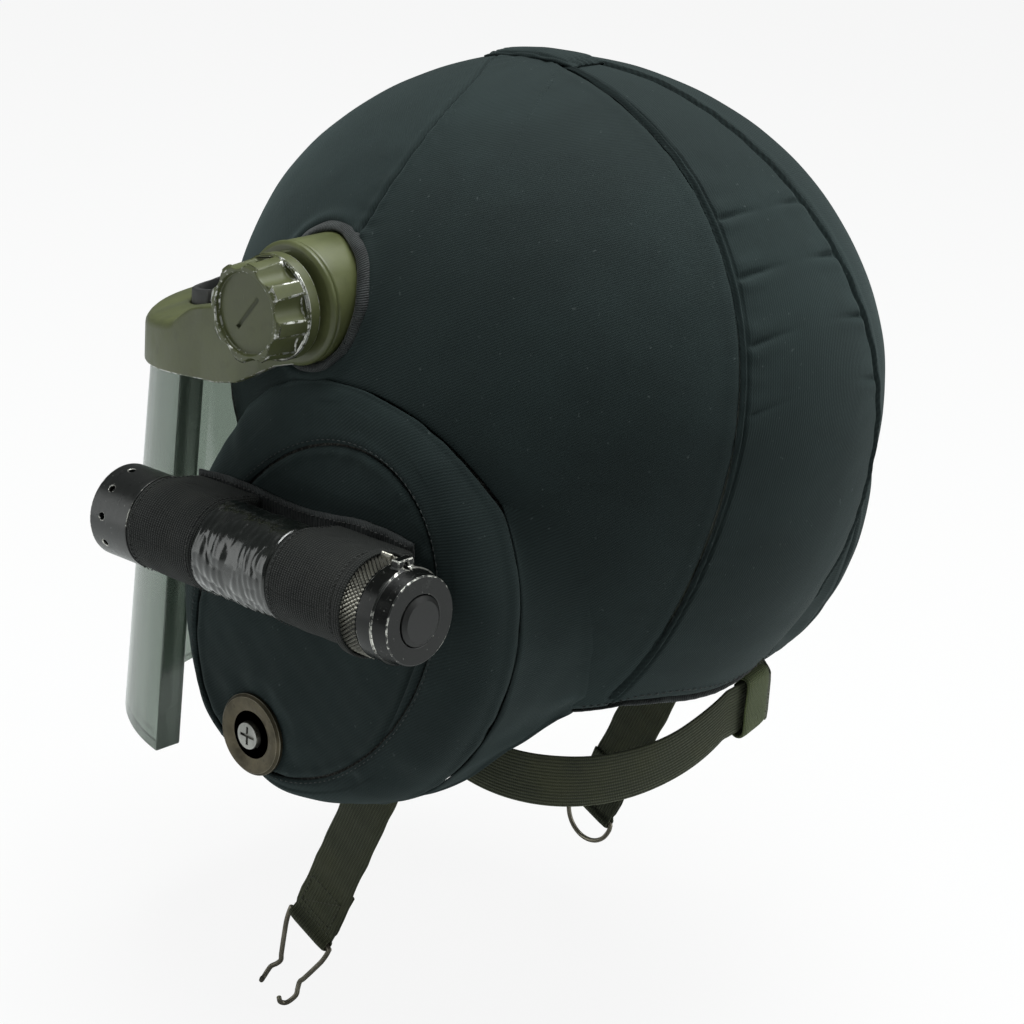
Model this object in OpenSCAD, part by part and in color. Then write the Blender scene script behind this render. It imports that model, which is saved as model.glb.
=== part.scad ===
// Ballistic helmet with a cloth cover, ear cups, visor and torch.
// Frame: X to the wearer's left, Y to the rear, Z up, origin at the head seat in the dome.

/* [Dome] */
// Half width of the covered dome
dome_half_width = 125; // [112:1:138]
// Half length of the covered dome
dome_half_length = 144; // [130:1:158]
// Height of the dome above its widest line
dome_height = 125; // [112:1:138]
// Depth at which the dome would close below its widest line
dome_drop = 165; // [150:5:210]
// Thickness of the cover cloth
cloth = 1.2; // [0.8:0.1:2]
// Thickness of the metal shell
shell_wall = 4; // [2:0.5:6]
// Clearance between pieces that touch
gap = 0.3; // [0.2:0.05:0.4]
// Angle of the brow rim about the line through the ears
brow_turn = 149.5; // [146:0.5:155]
// Angle of the nape rim about the line through the ears
nape_turn = -18; // [-24:0.5:-10]
// Height of the rubber edge trims as an angle about the ears
trim_turn = 1.5; // [1:0.1:2.5]
// Height of the gathered crest on the crown
crest_h = 3; // [1:0.5:5]

/* [Ear cups] */
// Rearward position of the cup centre
ear_y = -3; // [-10:1:5]
// Height of the cup centre
ear_z = -79; // [-90:1:-65]
// Half length of the cup oval
ear_major = 97; // [85:1:105]
// Half width of the cup oval
ear_minor = 84; // [75:1:92]
// Lean of the cup oval from the fore and aft line
ear_tilt = 52; // [30:1:70]
// Rearward position of the cloth disc centre
panel_y = -4; // [-10:1:5]
// Height of the cloth disc centre
panel_z = -84.5; // [-95:0.5:-70]
// Half length of the cloth disc
panel_major = 84; // [70:1:90]
// Half width of the cloth disc
panel_minor = 58; // [45:1:66]
// Lean of the cloth disc
panel_tilt = 55; // [30:1:70]
// How far the disc face stands outside the dome's widest point
panel_out = 6; // [1:0.5:11]
// How far the cup wall edge stands inside the dome's widest point
drum_depth = 20; // [15:1:25]
// Width of the cup's wall
drum_wall = 10; // [6:1:13]
// Straight part of the plate before it starts to dish
plate_foot_h = 3; // [0:0.5:6]
// Depth of the plate's dish
bowl_rise = 26; // [18:1:28]
// Thickness of the cheek plate
plate_wall = 3; // [2:0.5:4]

/* [Liner] */
// Thickness of the head pads
pad_t = 19; // [12:1:28]
// Radius of the ear cushion ring
cushion_r = 40; // [34:1:44]
// Half width of the ear cushion section
cushion_w = 12; // [8:1:14]
// Half depth of the ear cushion section
cushion_d = 17.4; // [12:0.1:18]

/* [Visor] */
// Rearward position of the visor pivot
pivot_y = -23; // [-30:1:-15]
// Height of the visor pivot
pivot_z = 40; // [34:1:46]
// Radius of the visor bow's corners
bow_r = 92; // [80:1:100]
// How far the bow's sides stand inside the lugs
bow_in = 5.2; // [3:0.1:8]
// Position of the bow's corner centres
bow_cy = -76; // [-84:1:-70]
// Depth of the bow channel from front to back
bow_t = 18.8; // [16:0.2:21]
// Thickness of the bow's arms
arm_t = 5.8; // [4:0.2:7]
// How far the lug's outer face stands outside the housing
lug_out = 8; // [7:0.5:11]
// Radius of the lugs
lug_r = 32; // [28:1:33]
// Thickness of the glass
glass_t = 13; // [10:0.5:14]
// Height of the bottom edge of the glass
glass_z = -176; // [-180:1:-140]
// Outward lean of the glass over a unit of height
glass_lean = 0.048; // [0:0.004:0.06]
// Position of the rear edge of the glass
glass_y = -93; // [-100:0.5:-93]
// Radius of the pivot housing
housing_r = 17; // [14:0.5:18]
// How far the housing's end stands outside the dome's widest point
housing_out = 0; // [-1:0.5:1]
// Radius of the pivot bolt
bolt_r = 5; // [4:0.5:6]
// Radius of the knob's base
knob_r = 21; // [18:0.5:24]
// Radius of the knob's face
knob_face_r = 19.3; // [17:0.1:21]
// Length of the knob
knob_h = 20.7; // [16:0.1:24]
// Number of grip scallops round the knob
knob_scallops = 8; // [6:1:12]

/* [Torch] */
// Distance of the torch axis from the disc face
torch_out = 21; // [21:0.5:23]
// Height of the torch axis
torch_z = -57; // [-62:1:-52]
// Rise of the torch toward its tail
torch_tilt = 2; // [0:0.5:4]
// Radius of the torch tube
tube_r = 17.5; // [16:0.1:17.6]
// Wall of the torch tube
tube_wall = 2.2; // [1.6:0.1:2.6]
// Radius of the torch head
head_r = 19.2; // [18:0.1:19.4]
// Position of the front face of the torch
torch_front = -92; // [-98:1:-88]
// Position of the tail face of the torch
torch_tail = 77; // [72:1:84]
// Width of each elastic band
band_w = 38; // [30:1:40]

/* [Straps] */
// Width of the chin webbing
web_w = 25; // [20:1:30]
// Thickness of the webbing
web_t = 1.8; // [1.2:0.1:2.4]
// Length of the chin strap from stud to hook bar
chin_l = 122; // [110:1:130]
// Forward lean of the chin strap at rest
chin_lean = 23.5; // [15:0.5:30]
// Rearward position of the strap studs
stud_y = 14; // [8:1:20]
// Height of the strap studs
stud_z = -138; // [-142:1:-132]
// Radius of the strap studs
stud_r = 3.5; // [2.5:0.5:4]
// Radius of the bent wire
wire_r = 1.1; // [0.9:0.1:1.4]
// Width of the nape webbing
nape_w = 22; // [18:1:25]

/* [Fastenings] */
// Outer radius of the cup washers
washer_r = 17.5; // [14:0.5:19]
// Rearward position of the cup screws
cup_screw_y = -33; // [-40:1:-25]
// Height of the cup screws
cup_screw_z = -146; // [-150:1:-140]
// Radius of the cup screw heads
cup_head_r = 6.2; // [5:0.2:8]

/* [Hidden] */
$fn = 96;
panel_x = dome_half_width + panel_out;
drum_x = dome_half_width - drum_depth;
drum_in = drum_x - drum_wall;
bowl_x = drum_in + plate_foot_h;
housing_x = dome_half_width + housing_out;
lug_x = housing_x + lug_out;
bow_cx = lug_x - bow_in - bow_r;
torch_x = panel_x + torch_out;
strap_x = drum_in - 4;
shell_out = cloth + 5.3 * gap;
shell_in = shell_out + shell_wall;
pad_out = shell_in + 3 * gap;
big = 260;
open_r = housing_r + 4.3;
lug_in = lug_x - arm_t + 0.1;
bow_half = bow_cx + bow_r;
knob_x = lug_x + gap;
tube_front = torch_front + 19;
head_back = torch_front + 23;
cap_front = torch_tail - 26.7;
band_front_y = head_back + gap;
band_rear_y = cap_front - gap - band_w;
steps = 40;
plate_gap = 4.5 * gap;
crown_seam = [[0.15, 99.2], [15, 98.2], [32, 95.5], [49, 93.6], [76, 92.3], [96, 92.7], [107, 93.6]];
rear_seam = [[0.15, 89.4], [9, 88.6], [15, 81], [20, 73.5], [27, 61], [35, 48.7], [41, 40], [45, 33],
    [51, 17.5], [53.5, 0], [53, -17]];
ear_seam = [[-47, 8], [-61, -7], [-70, -17], [-79, -27.5]];
skirt_in = [[-207, drum_in - 1], [-202, drum_in - 3], [-190, drum_in - 3], [-170, drum_in], [-62, drum_in],
    [-44, drum_in - 8], [-37, drum_in - 11], [-30, drum_in - 29]];

function oval(cy, cz, a, b, t, q) = [cy + a * cos(q) * cos(t) - b * sin(q) * sin(t), cz + a * cos(q)
    * sin(t) + b * sin(q) * cos(t)];
function dome_h(z) = z > 0 ? dome_height : dome_drop;
function dome_q(p) = 1 - pow(p[0] / dome_half_length, 2) - pow(p[1] / dome_h(p[1]), 2);
function dome_x(p) = dome_half_width * sqrt(max(0, dome_q(p)));
function ear_edge(q, o) = oval(ear_y, ear_z, ear_major - o, ear_minor - o, ear_tilt, q);
function panel_edge(q, f) = oval(panel_y, panel_z, panel_major * f, panel_minor * f, panel_tilt, q);
function edge_x(q) = max(dome_x(ear_edge(q, 0)), drum_x);
function ring_yz(q, s, o) = panel_edge(q, 1) + (ear_edge(q, gap + o) - panel_edge(q, 1)) * sin(90 * s);
function ring_x(q, s, o) = edge_x(q) - o / 2 + (panel_x - 1.2 - o / 2 - edge_x(q)) * pow(cos(90 * s), 0.8);
function ring_pt(q, s, o) = let (p = ring_yz(q, s, o)) [s > 0.999 ? edge_x(q) - o / 2 : ring_x(q, s, o),
    p[0], p[1]];
function panel_pt(q, f, o) = let (p = panel_edge(q, f)) [panel_x - o - 1.2 * pow(f, 4), p[0], p[1]];
function grid(n, k, m) = k * steps + (m % steps);
function skin(base, n) = [for (k = [0 : n - 1]) for (m = [0 : steps - 1]) each [[base + grid(n, k, m),
    base + grid(n, k, m + 1), base + grid(n, k + 1, m + 1)], [base + grid(n, k, m), base + grid(n,
    k + 1, m + 1), base + grid(n, k + 1, m)]]];
function under(f) = [for (t = f) [t[0], t[2], t[1]]];
function strip(a, b) = [for (m = [0 : steps - 1]) each [[a + m, a + (m + 1) % steps, b + (m + 1)
    % steps], [a + m, b + (m + 1) % steps, b + m]]];
function oval_r(p) = ear_major * ear_minor / sqrt(pow(ear_minor * cos(p - ear_tilt), 2) + pow(ear_major
    * sin(p - ear_tilt), 2));
function half_w(y, z, o) = (dome_half_width - o) * sqrt(max(0, 1 - pow(y / (dome_half_length - o), 2)
    - pow(z / (dome_h(z) - o), 2)));
function ear_x(p, o) = half_w(ear_y + oval_r(p) * cos(p), ear_z + oval_r(p) * sin(p), o);
function ray_a(p, o, h) = pow(cos(p) / (dome_half_length - o), 2) + pow(sin(p) / (h - o), 2);
function ray_b(p, o, h) = ear_y * cos(p) / pow(dome_half_length - o, 2) + ear_z * sin(p) / pow(h - o, 2);
function ray_c(x, o, h) = pow(ear_y / (dome_half_length - o), 2) + pow(ear_z / (h - o), 2) - 1
    + pow(x / (dome_half_width - o), 2);
function ray_r(x, p, o, h) = let (a = ray_a(p, o, h), b = ray_b(p, o, h))
    (-b + sqrt(max(0, b * b - a * ray_c(x, o, h)))) / a;
function ray_len(x, p, o) = let (r = ray_r(x, p, o, dome_height)) ear_z + r * sin(p) >= 0 ? r : ray_r(x,
    p, o, dome_drop);
function dome_pt(w, p, o) = let (x = w * ear_x(p, o), r = abs(w) > 0.9999 ? oval_r(p) : ray_len(x, p,
    o)) [x, ear_y + r * cos(p), ear_z + r * sin(p)];
function at(list, s) = let (i = min(floor(s), len(list) - 2)) list[i] + (list[i + 1] - list[i]) * (s - i);
function mix(a, b, f) = a + (b - a) * f;
function nape_p(x) = nape_turn + lookup(abs(x), [[0, -0.5], [30, 0.5], [45, -1], [60, -7], [72, -11]]);
function fan(c, a) = [for (m = [0 : steps - 1]) [c, a + (m + 1) % steps, a + m]];

module slab(a, b, n, m) {
    w = m + 1;
    h = (n + 1) * w;
    face = [for (i = [0 : n - 1]) for (j = [0 : m - 1]) each [[i * w + j, i * w + j + 1, (i + 1) * w
        + j + 1], [i * w + j, (i + 1) * w + j + 1, (i + 1) * w + j]]];
    back = [for (t = face) [t[0] + h, t[2] + h, t[1] + h]];
    low = [for (j = [0 : m - 1]) each [[j, j + h, j + 1 + h], [j, j + 1 + h, j + 1]]];
    top = [for (j = [0 : m - 1]) let (q = n * w + j) each [[q, q + 1 + h, q + h], [q, q + 1, q + 1 + h]]];
    near = [for (i = [0 : n - 1]) let (q = i * w) each [[q, q + w + h, q + h], [q, q + w, q + w + h]]];
    far = [for (i = [0 : n - 1]) let (q = i * w + m) each [[q, q + h, q + w + h], [q, q + w + h, q + w]]];
    polyhedron(points = concat(a, b), faces = concat(face, back, low, top, near, far), convexity = 8);
}

module tube(path, r, closed) {
    n = len(path);
    k = 10;
    function step(i) = closed ? path[(i + 1) % n] - path[(i + n - 1) % n] : path[min(i + 1, n - 1)]
        - path[max(i - 1, 0)];
    pts = [for (i = [0 : n - 1]) let (t = step(i) / norm(step(i)),
        u = cross(t, [1, 0, 0]) / norm(cross(t, [1, 0, 0])), v = cross(t, u)) for (j = [0 : k - 1])
        path[i] + r * (u * cos(360 * j / k) + v * sin(360 * j / k))];
    last = closed ? n - 1 : n - 2;
    sides = [for (i = [0 : last]) for (j = [0 : k - 1]) let (a = i * k + j, b = i * k + (j + 1) % k,
        c = ((i + 1) % n) * k + (j + 1) % k, d = ((i + 1) % n) * k + j) each [[a, c, b], [a, d, c]]];
    ends = closed ? [] : [[for (j = [0 : k - 1]) j], [for (j = [k - 1 : -1 : 0]) (n - 1) * k + j]];
    polyhedron(points = pts, faces = concat(sides, ends), convexity = 8);
}

module prism_x(p, x0, x1) {
    translate([x0, 0, 0]) rotate([90, 0, 90]) linear_extrude(height = x1 - x0) polygon(p);
}

module prism_z(p, z0, z1) {
    translate([0, 0, z0]) linear_extrude(height = z1 - z0) polygon(p);
}

module rod_x(r, x0, x1, y, z) {
    translate([x0, y, z]) rotate([0, 90, 0]) cylinder(r = r, h = x1 - x0);
}

module half_dome(o, h, up) {
    k = h - o;
    scale([(dome_half_width - o) / k, (dome_half_length - o) / k, 1]) intersection() {
        sphere(r = k);
        translate([-k, -k, up * k]) cube([2 * k, 2 * k, k]);
    }
}

module dome(o) {
    half_dome(o, dome_height, 0);
    half_dome(o, dome_drop, -1);
}

function dish_curve(o) = [for (a = [0 : 9 : 90]) [(ear_minor - gap + o) * sin(a),
    bowl_x + (bowl_rise - 2 + o) * cos(a)]];

module dish(p) {
    translate([0, ear_y, ear_z]) rotate([ear_tilt, 0, 0]) scale([1, ear_major / ear_minor, 1])
        rotate([0, 90, 0]) rotate_extrude() polygon(p);
}

module both_sides() {
    children();
    mirror([1, 0, 0]) children();
}

function shell_grid(o) = [for (i = [0 : 28]) for (j = [0 : 24]) let (w = sin(180 * j / 24 - 90),
    p0 = mix(nape_turn, brow_turn, i / 28)) dome_pt(w, p0 + (1 - i / 28) * (nape_p(w * 66) - nape_turn),
    o)];

module shell() {
    color("#8d8f88") difference() {
        slab(shell_grid(shell_out), shell_grid(shell_in), 28, 24);
        both_sides() rod_x(bolt_r + gap, 60, 200, pivot_y, pivot_z);
    }
}

function plate_ring(a, o) = [for (m = [0 : steps - 1]) let (q = 360 * m / steps, e = ear_edge(q,
    plate_gap + o), c = [ear_y, ear_z], p = c + (e - c) * sin(a)) [bowl_x + (bowl_rise - 2 - o)
    * cos(a), p[0], p[1]]];
function plate_foot(o) = [for (m = [0 : steps - 1]) let (e = ear_edge(360 * m / steps, plate_gap + o))
    [drum_in, e[0], e[1]]];

module ear_plate() {
    turns = [22, 40, 57, 73, 90];
    rings = concat([for (a = turns) plate_ring(a, 0)], [plate_foot(0)], [for (a = turns) plate_ring(a,
        plate_wall)], [plate_foot(plate_wall)]);
    all = [for (r = rings) each r];
    h = 6 * steps;
    c = len(all);
    pts = concat(all, [[bowl_x + bowl_rise - 2, ear_y, ear_z], [bowl_x + bowl_rise - 2 - plate_wall,
        ear_y, ear_z]]);
    faces = concat(skin(0, 5), under(skin(h, 5)), fan(c, 0), under(fan(c + 1, h)), strip(5 * steps,
        h + 5 * steps));
    difference() {
        polyhedron(points = pts, faces = faces, convexity = 6);
        rod_x(3.3, 90, 150, cup_screw_y, cup_screw_z);
    }
}

module ear_plate_left() {
    color("#75776f") ear_plate();
}

module ear_plate_right() {
    color("#75776f") mirror([1, 0, 0]) ear_plate();
}

module ear_foam() {
    o = cloth + gap;
    n = 7;
    rings = [for (f = [0.5, 0.98]) [for (m = [0 : steps - 1]) panel_pt(360 * m / steps, f, o)]];
    slopes = [for (s = [0.28, 0.5, 0.7, 0.86, 0.96, 1]) [for (m = [0 : steps - 1])
        ring_pt(360 * m / steps, s, o)]];
    foot = [[for (m = [0 : steps - 1]) [bowl_x + 1, ear_edge(360 * m / steps, gap + o)[0],
        ear_edge(360 * m / steps, gap + o)[1]]]];
    all = [for (r = concat(rings, slopes, foot)) each r];
    top = len(all);
    pts = concat(all, [[panel_x - o, panel_y, panel_z], [bowl_x + 1, ear_y, ear_z]]);
    faces = concat(skin(0, 8), fan(top, 0), under(fan(top + 1, 8 * steps)));
    difference() {
        polyhedron(points = pts, faces = faces, convexity = 6);
        dish(concat(dish_curve(gap), [[ear_minor, drum_in - 5], [0, drum_in - 5]]));
        rod_x(3.3, 90, 150, cup_screw_y, cup_screw_z);
    }
}

module ear_foam_left() {
    color("#4a4a44") ear_foam();
}

module ear_foam_right() {
    color("#4a4a44") mirror([1, 0, 0]) ear_foam();
}

function trim_grid(p, o) = [for (i = [0, 1]) for (j = [0 : 26]) let (w = sin(176 * j / 26 - 88))
    dome_pt(w, p + trim_turn * i + (p < 0 ? nape_p(w * 66) - nape_turn : 0), o)];

module brow_trim() {
    color("#1c1d1e") slab(trim_grid(brow_turn + 0.2, -0.5), trim_grid(brow_turn + 0.2, shell_in + 0.5),
        1, 26);
}

module nape_trim() {
    color("#1c1d1e") slab(trim_grid(nape_turn - 1 - trim_turn, -0.5), trim_grid(nape_turn - 1
        - trim_turn, shell_in + 0.5), 1, 26);
}

function seam_w(q) = [q[0] / ear_x(q[1], 0), q[1]];
function yz_w(q, d) = let (p = atan2(q[1] - ear_z, q[0] - ear_y), y = q[0] + d * cos(p), z = q[1] + d
    * sin(p)) [min(1, half_w(y, z, 0) / ear_x(p, 0)), p];
function arc_yz(a, b) = [for (i = [0 : 7]) let (t = mix(a, b, i / 7),
    r = (open_r + 1.1) / cos((b - a) / 14)) [pivot_y + r * cos(t), pivot_z + r * sin(t)]];
function seam_line(a, b, d) = concat([for (q = crown_seam) seam_w(q) + [0, 0.6 * d]],
    [for (q = arc_yz(a, b)) yz_w(q, 0)], [for (q = ear_seam) yz_w(q, d)]);
front_line = seam_line(64, 231, gap);
rear_line = seam_line(60, -125, -gap);
nf = len(front_line) - 1;
function front_c(c) = let (q = at(front_line, nf * abs(c))) [sign(c) * q[0], q[1]];
function brow_c(c) = [sin(90 * c) * 0.9999, brow_turn];
function front_q(c, f) = let (a = front_c(c), b = brow_c(c)) [sin(mix(asin(b[0]), asin(a[0]), f)),
    mix(b[1], a[1], f)];
function front_grid(o) = [for (i = [0 : 9]) for (j = [0 : 2 * nf]) let (q = front_q(1 - j / nf, i / 9))
    dome_pt(q[0], q[1], o)];

module cover_front() {
    color("#2b313c") slab(front_grid(0), front_grid(cloth), 9, 2 * nf);
}

hem = concat([for (i = [nf : -1 : 0]) rear_line[i]], [for (q = rear_seam)
    seam_w([q[0] + 0.15, max(q[1], nape_p(q[0]))])]);
nh = len(hem) - 1;
function ear_turn(k) = lookup(k, [[0, 145.5], [1, 138.5], [2, 131], [3, 122], [4, 114], [5, 106],
    [6, 98.5], [7, 93], [8, 89], [9, 86], [10, 83], [11, 80], [15, 76], [16, 74], [17, 71], [18, 67],
    [22, 56], [26, 30], [nh, nape_p(66)]]);
function side_q(k, f) = let (b = at(hem, k), p = ear_turn(k)) [sin(mix(89.3, asin(min(b[0], 1)), f)),
    mix(p, b[1], f)];
function side_grid(o) = [for (i = [0 : nh]) for (j = [0 : 9]) let (q = side_q(i, j / 9)) dome_pt(q[0],
    q[1], o)];

module cover_side() {
    slab(side_grid(0), side_grid(cloth), nh, 9);
}

module cover_left() {
    color("#2d333f") cover_side();
}

module cover_right() {
    color("#2d333f") mirror([1, 0, 0]) cover_side();
}

function rear_x(p) = lookup(p, [for (q = rear_seam) [q[1], q[0] - 0.15]]);
function rear_q(u, v) = let (p0 = mix(nape_turn, 88.5, v), x = rear_x(p0) * u, p = p0 + (1 - v)
    * (nape_p(x) - nape_turn)) [x / ear_x(p, 0), p];
function rear_grid(o) = [for (i = [0 : 24]) for (j = [0 : 6]) let (q = rear_q(j / 3 - 1, i / 24))
    dome_pt(q[0], q[1], o)];

module cover_rear() {
    color("#2b313c") slab(rear_grid(0), rear_grid(cloth), 24, 6);
}

module crown_welt() {
    top = [for (i = [0 : 8]) for (j = [0 : 8]) let (u = i / 4 - 1, v = j / 4 - 1) dome_pt(0.068 * v,
        94 + 7.4 * u, -gap - 0.2 - crest_h * (1 - pow(u, 4)) * (1 - pow(v, 4)) - 0.6)];
    base = [for (i = [0 : 8]) for (j = [0 : 8]) let (u = i / 4 - 1, v = j / 4 - 1) dome_pt(0.068 * v,
        94 + 7.4 * u, -gap)];
    color("#2b313c") slab(top, base, 8, 8);
}

function skirt_x(p) = p > -29 ? ear_x(p, 0) + gap + 0.3 : lookup(p, skirt_in);
function skirt_pt(p, f, o) = [mix(min(skirt_x(p), drum_x - 1.5), drum_x, f), ear_y + (oval_r(p) + o)
    * cos(p), ear_z + (oval_r(p) + o) * sin(p)];
function skirt_grid(o) = [for (i = [0 : 44]) for (j = [0, 1]) skirt_pt(mix(-207, 20, i / 44), j, o)];

module cup_skirt() {
    slab(skirt_grid(cloth + 0.1), skirt_grid(0.1), 44, 1);
}

module cup_skirt_left() {
    color("#2b313c") cup_skirt();
}

module cup_skirt_right() {
    color("#2b313c") mirror([1, 0, 0]) cup_skirt();
}

module ear_ring() {
    outer = [for (s = [0.02, 0.26, 0.5, 0.7, 0.86, 0.96, 1]) [for (m = [0 : steps - 1])
        ring_pt(360 * m / steps, s, 0)]];
    inner = [for (s = [0.02, 0.26, 0.5, 0.7, 0.86, 0.96, 1]) [for (m = [0 : steps - 1])
        ring_pt(360 * m / steps, s, cloth)]];
    pts = [for (r = concat(outer, inner)) each r];
    h = 7 * steps;
    faces = concat(skin(0, 6), under(skin(h, 6)), under(strip(0, h)), strip(6 * steps, h + 6 * steps));
    polyhedron(points = pts, faces = faces, convexity = 6);
}

module ear_ring_left() {
    color("#2b313c") ear_ring();
}

module ear_ring_right() {
    color("#2b313c") mirror([1, 0, 0]) ear_ring();
}

module ear_panel() {
    sizes = [0.45, 0.8, 0.985];
    outer = [for (f = sizes) [for (m = [0 : steps - 1]) panel_pt(360 * m / steps, f, 0)]];
    inner = [for (f = sizes) [for (m = [0 : steps - 1]) panel_pt(360 * m / steps, f, cloth)]];
    all = [for (r = concat(outer, inner)) each r];
    h = 3 * steps;
    c = len(all);
    pts = concat(all, [[panel_x, panel_y, panel_z], [panel_x - cloth, panel_y, panel_z]]);
    faces = concat(skin(0, 2), under(skin(h, 2)), fan(c, 0), under(fan(c + 1, h)), strip(2 * steps,
        h + 2 * steps));
    difference() {
        polyhedron(points = pts, faces = faces, convexity = 4);
        rod_x(3.3, 90, 150, cup_screw_y, cup_screw_z);
    }
}

module ear_panel_left() {
    color("#303743") ear_panel();
}

module ear_panel_right() {
    color("#303743") mirror([1, 0, 0]) ear_panel();
}

bolt_seat = half_w(pivot_y - 5, pivot_z + 8, shell_in) - 3 * gap;
function bind_pt(a, r, o) = let (y = pivot_y + r * cos(a), z = pivot_z + r * sin(a)) [half_w(y, z, o),
    y, z];

module slot_binding() {
    n = 36;
    r0 = housing_r + gap;
    r1 = open_r - 2 * gap;
    pts = [for (i = [0 : n - 1]) each [bind_pt(10 * i, r0, -0.8), bind_pt(10 * i, r1, -0.8),
        bind_pt(10 * i, r1, cloth), bind_pt(10 * i, r0, cloth)]];
    sides = [for (i = [0 : n - 1]) for (j = [0 : 3]) let (a = i * 4 + j, b = i * 4 + (j + 1) % 4,
        c = ((i + 1) % n) * 4 + (j + 1) % 4, d = ((i + 1) % n) * 4 + j) each [[a, d, c], [a, c, b]]];
    polyhedron(points = pts, faces = sides, convexity = 6);
}

module slot_binding_left() {
    color("#17191d") slot_binding();
}

module slot_binding_right() {
    color("#17191d") mirror([1, 0, 0]) slot_binding();
}

function inward(p, t) = let (g = [p[0] / pow(dome_half_width, 2), p[1] / pow(dome_half_length, 2),
    p[2] / pow(dome_h(p[2]), 2)]) p - t * g / norm(g);
function pad_pt(x, p) = let (r = ray_len(x, p, pad_out)) [x, ear_y + r * cos(p), ear_z + r * sin(p)];
function pad_yz(y, z) = [half_w(y, z, pad_out), y, z];
function pad_uv(s) = [for (i = [-4 : 4]) for (j = [-4 : 4]) [j * s / 4, i * s / 4]];
function soft(u, v, k) = u * sqrt(1 - k * v * v);
function pad_face(s, t, w, p0, p1, k) = [for (q = pad_uv(s)) inward(pad_pt(w * soft(q[0], q[1], k),
    (p0 + p1) / 2 + (p1 - p0) / 2 * soft(q[1], q[0], k)), t)];
function side_face(s, t) = [for (q = pad_uv(s)) inward(pad_yz(31 + 35 * soft(q[1], q[0], 0.15),
    54 + 28 * soft(q[0], q[1], 0.15)), t)];

module pad_front() {
    color("#3a3a36") slab(pad_face(1, 0, 62, 117, 141, 0.15), pad_face(0.9, pad_t, 62, 117, 141, 0.15),
        8, 8);
}

module pad_rear() {
    color("#3a3a36") slab(pad_face(1, 0, 48, -8, 51, 0.15), pad_face(0.9, pad_t, 48, -8, 51, 0.15), 8, 8);
}

module pad_crown() {
    color("#3a3a36") slab(pad_face(1, 0, 50, 76, 106, 0.5), pad_face(0.9, pad_t, 50, 76, 106, 0.5), 8, 8);
}

module side_pads() {
    color("#3a3a36") both_sides() slab(side_face(1, 0), side_face(0.9, pad_t), 8, 8);
}

module ear_cushion() {
    translate([bowl_x - 1.6, ear_y + 4, ear_z + 12]) rotate([ear_tilt, 0, 0]) scale([1, 1.15, 1])
        rotate([0, 90, 0]) rotate_extrude() translate([cushion_r, 0]) scale([cushion_w / cushion_d, 1])
        circle(r = cushion_d);
}

module ear_cushions() {
    color("#4b3d30") both_sides() ear_cushion();
}

module pivot_housing() {
    difference() {
        rod_x(housing_r, 90, housing_x, pivot_y, pivot_z);
        dome(cloth);
        rod_x(bolt_r + gap, 80, 150, pivot_y, pivot_z);
    }
}

module pivot_housing_left() {
    color("#7c7a5c") pivot_housing();
}

module pivot_housing_right() {
    color("#7c7a5c") mirror([1, 0, 0]) pivot_housing();
}

module pivot_bolt() {
    union() {
        rod_x(bolt_r, bolt_seat - 5, knob_x + knob_h - 6, pivot_y, pivot_z);
        rod_x(9, bolt_seat - 7, bolt_seat, pivot_y, pivot_z);
    }
}

module pivot_bolt_left() {
    color("#6d6d68") pivot_bolt();
}

module pivot_bolt_right() {
    color("#6d6d68") mirror([1, 0, 0]) pivot_bolt();
}

module friction_washer() {
    difference() {
        rod_x(12.5, housing_x + gap, lug_in - gap, pivot_y, pivot_z);
        rod_x(bolt_r + gap, 100, 150, pivot_y, pivot_z);
    }
}

module friction_washer_left() {
    color("#202020") friction_washer();
}

module friction_washer_right() {
    color("#202020") mirror([1, 0, 0]) friction_washer();
}

module clamp_knob() {
    translate([knob_x, pivot_y, pivot_z]) rotate([0, 90, 0]) difference() {
        union() {
            cylinder(r = knob_r, h = 5.5);
            translate([0, 0, 5.4]) cylinder(r1 = knob_r - 0.6, r2 = knob_face_r, h = knob_h - 6.4);
            translate([0, 0, knob_h - 1.01]) cylinder(r1 = knob_face_r, r2 = knob_face_r - 0.9, h = 1.01);
        }
        translate([0, 0, knob_h - 2.2]) cylinder(r = 16.2, h = 5);
        translate([0, 0, -1]) cylinder(r = bolt_r + gap, h = knob_h - 4.6);
        rotate([0, 0, 37]) translate([-9, -1, knob_h - 3.6]) cube([18, 2, 4]);
        for (i = [0 : knob_scallops - 1]) {
            rotate([0, 0, 360 * i / knob_scallops]) translate([knob_r + 3.4, 0, 6.3]) cylinder(r = 7,
                h = 30);
        }
    }
}

module clamp_knob_left() {
    color("#83805f") clamp_knob();
}

module clamp_knob_right() {
    color("#83805f") mirror([1, 0, 0]) clamp_knob();
}

module bow_plan(t, z0, z1) {
    r = bow_r - t;
    both_sides() translate([bow_cx, bow_cy, z0]) cylinder(r = r, h = z1 - z0);
    translate([-bow_cx, bow_cy - r, z0]) cube([2 * bow_cx, 2 * r, z1 - z0]);
}

module glass_core(t, g, z0, z1) {
    r0 = bow_r - 2.3 - t + g + glass_lean * (-23 - z0);
    r1 = bow_r - 2.3 - t + g + glass_lean * (-23 - z1);
    both_sides() translate([bow_cx, bow_cy, z0]) cylinder(r1 = r0, r2 = r1, h = z1 - z0);
    prism_x([[bow_cy - r0, z0], [bow_cy, z0], [bow_cy, z1], [bow_cy - r1, z1]], -bow_cx, bow_cx);
}

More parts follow.
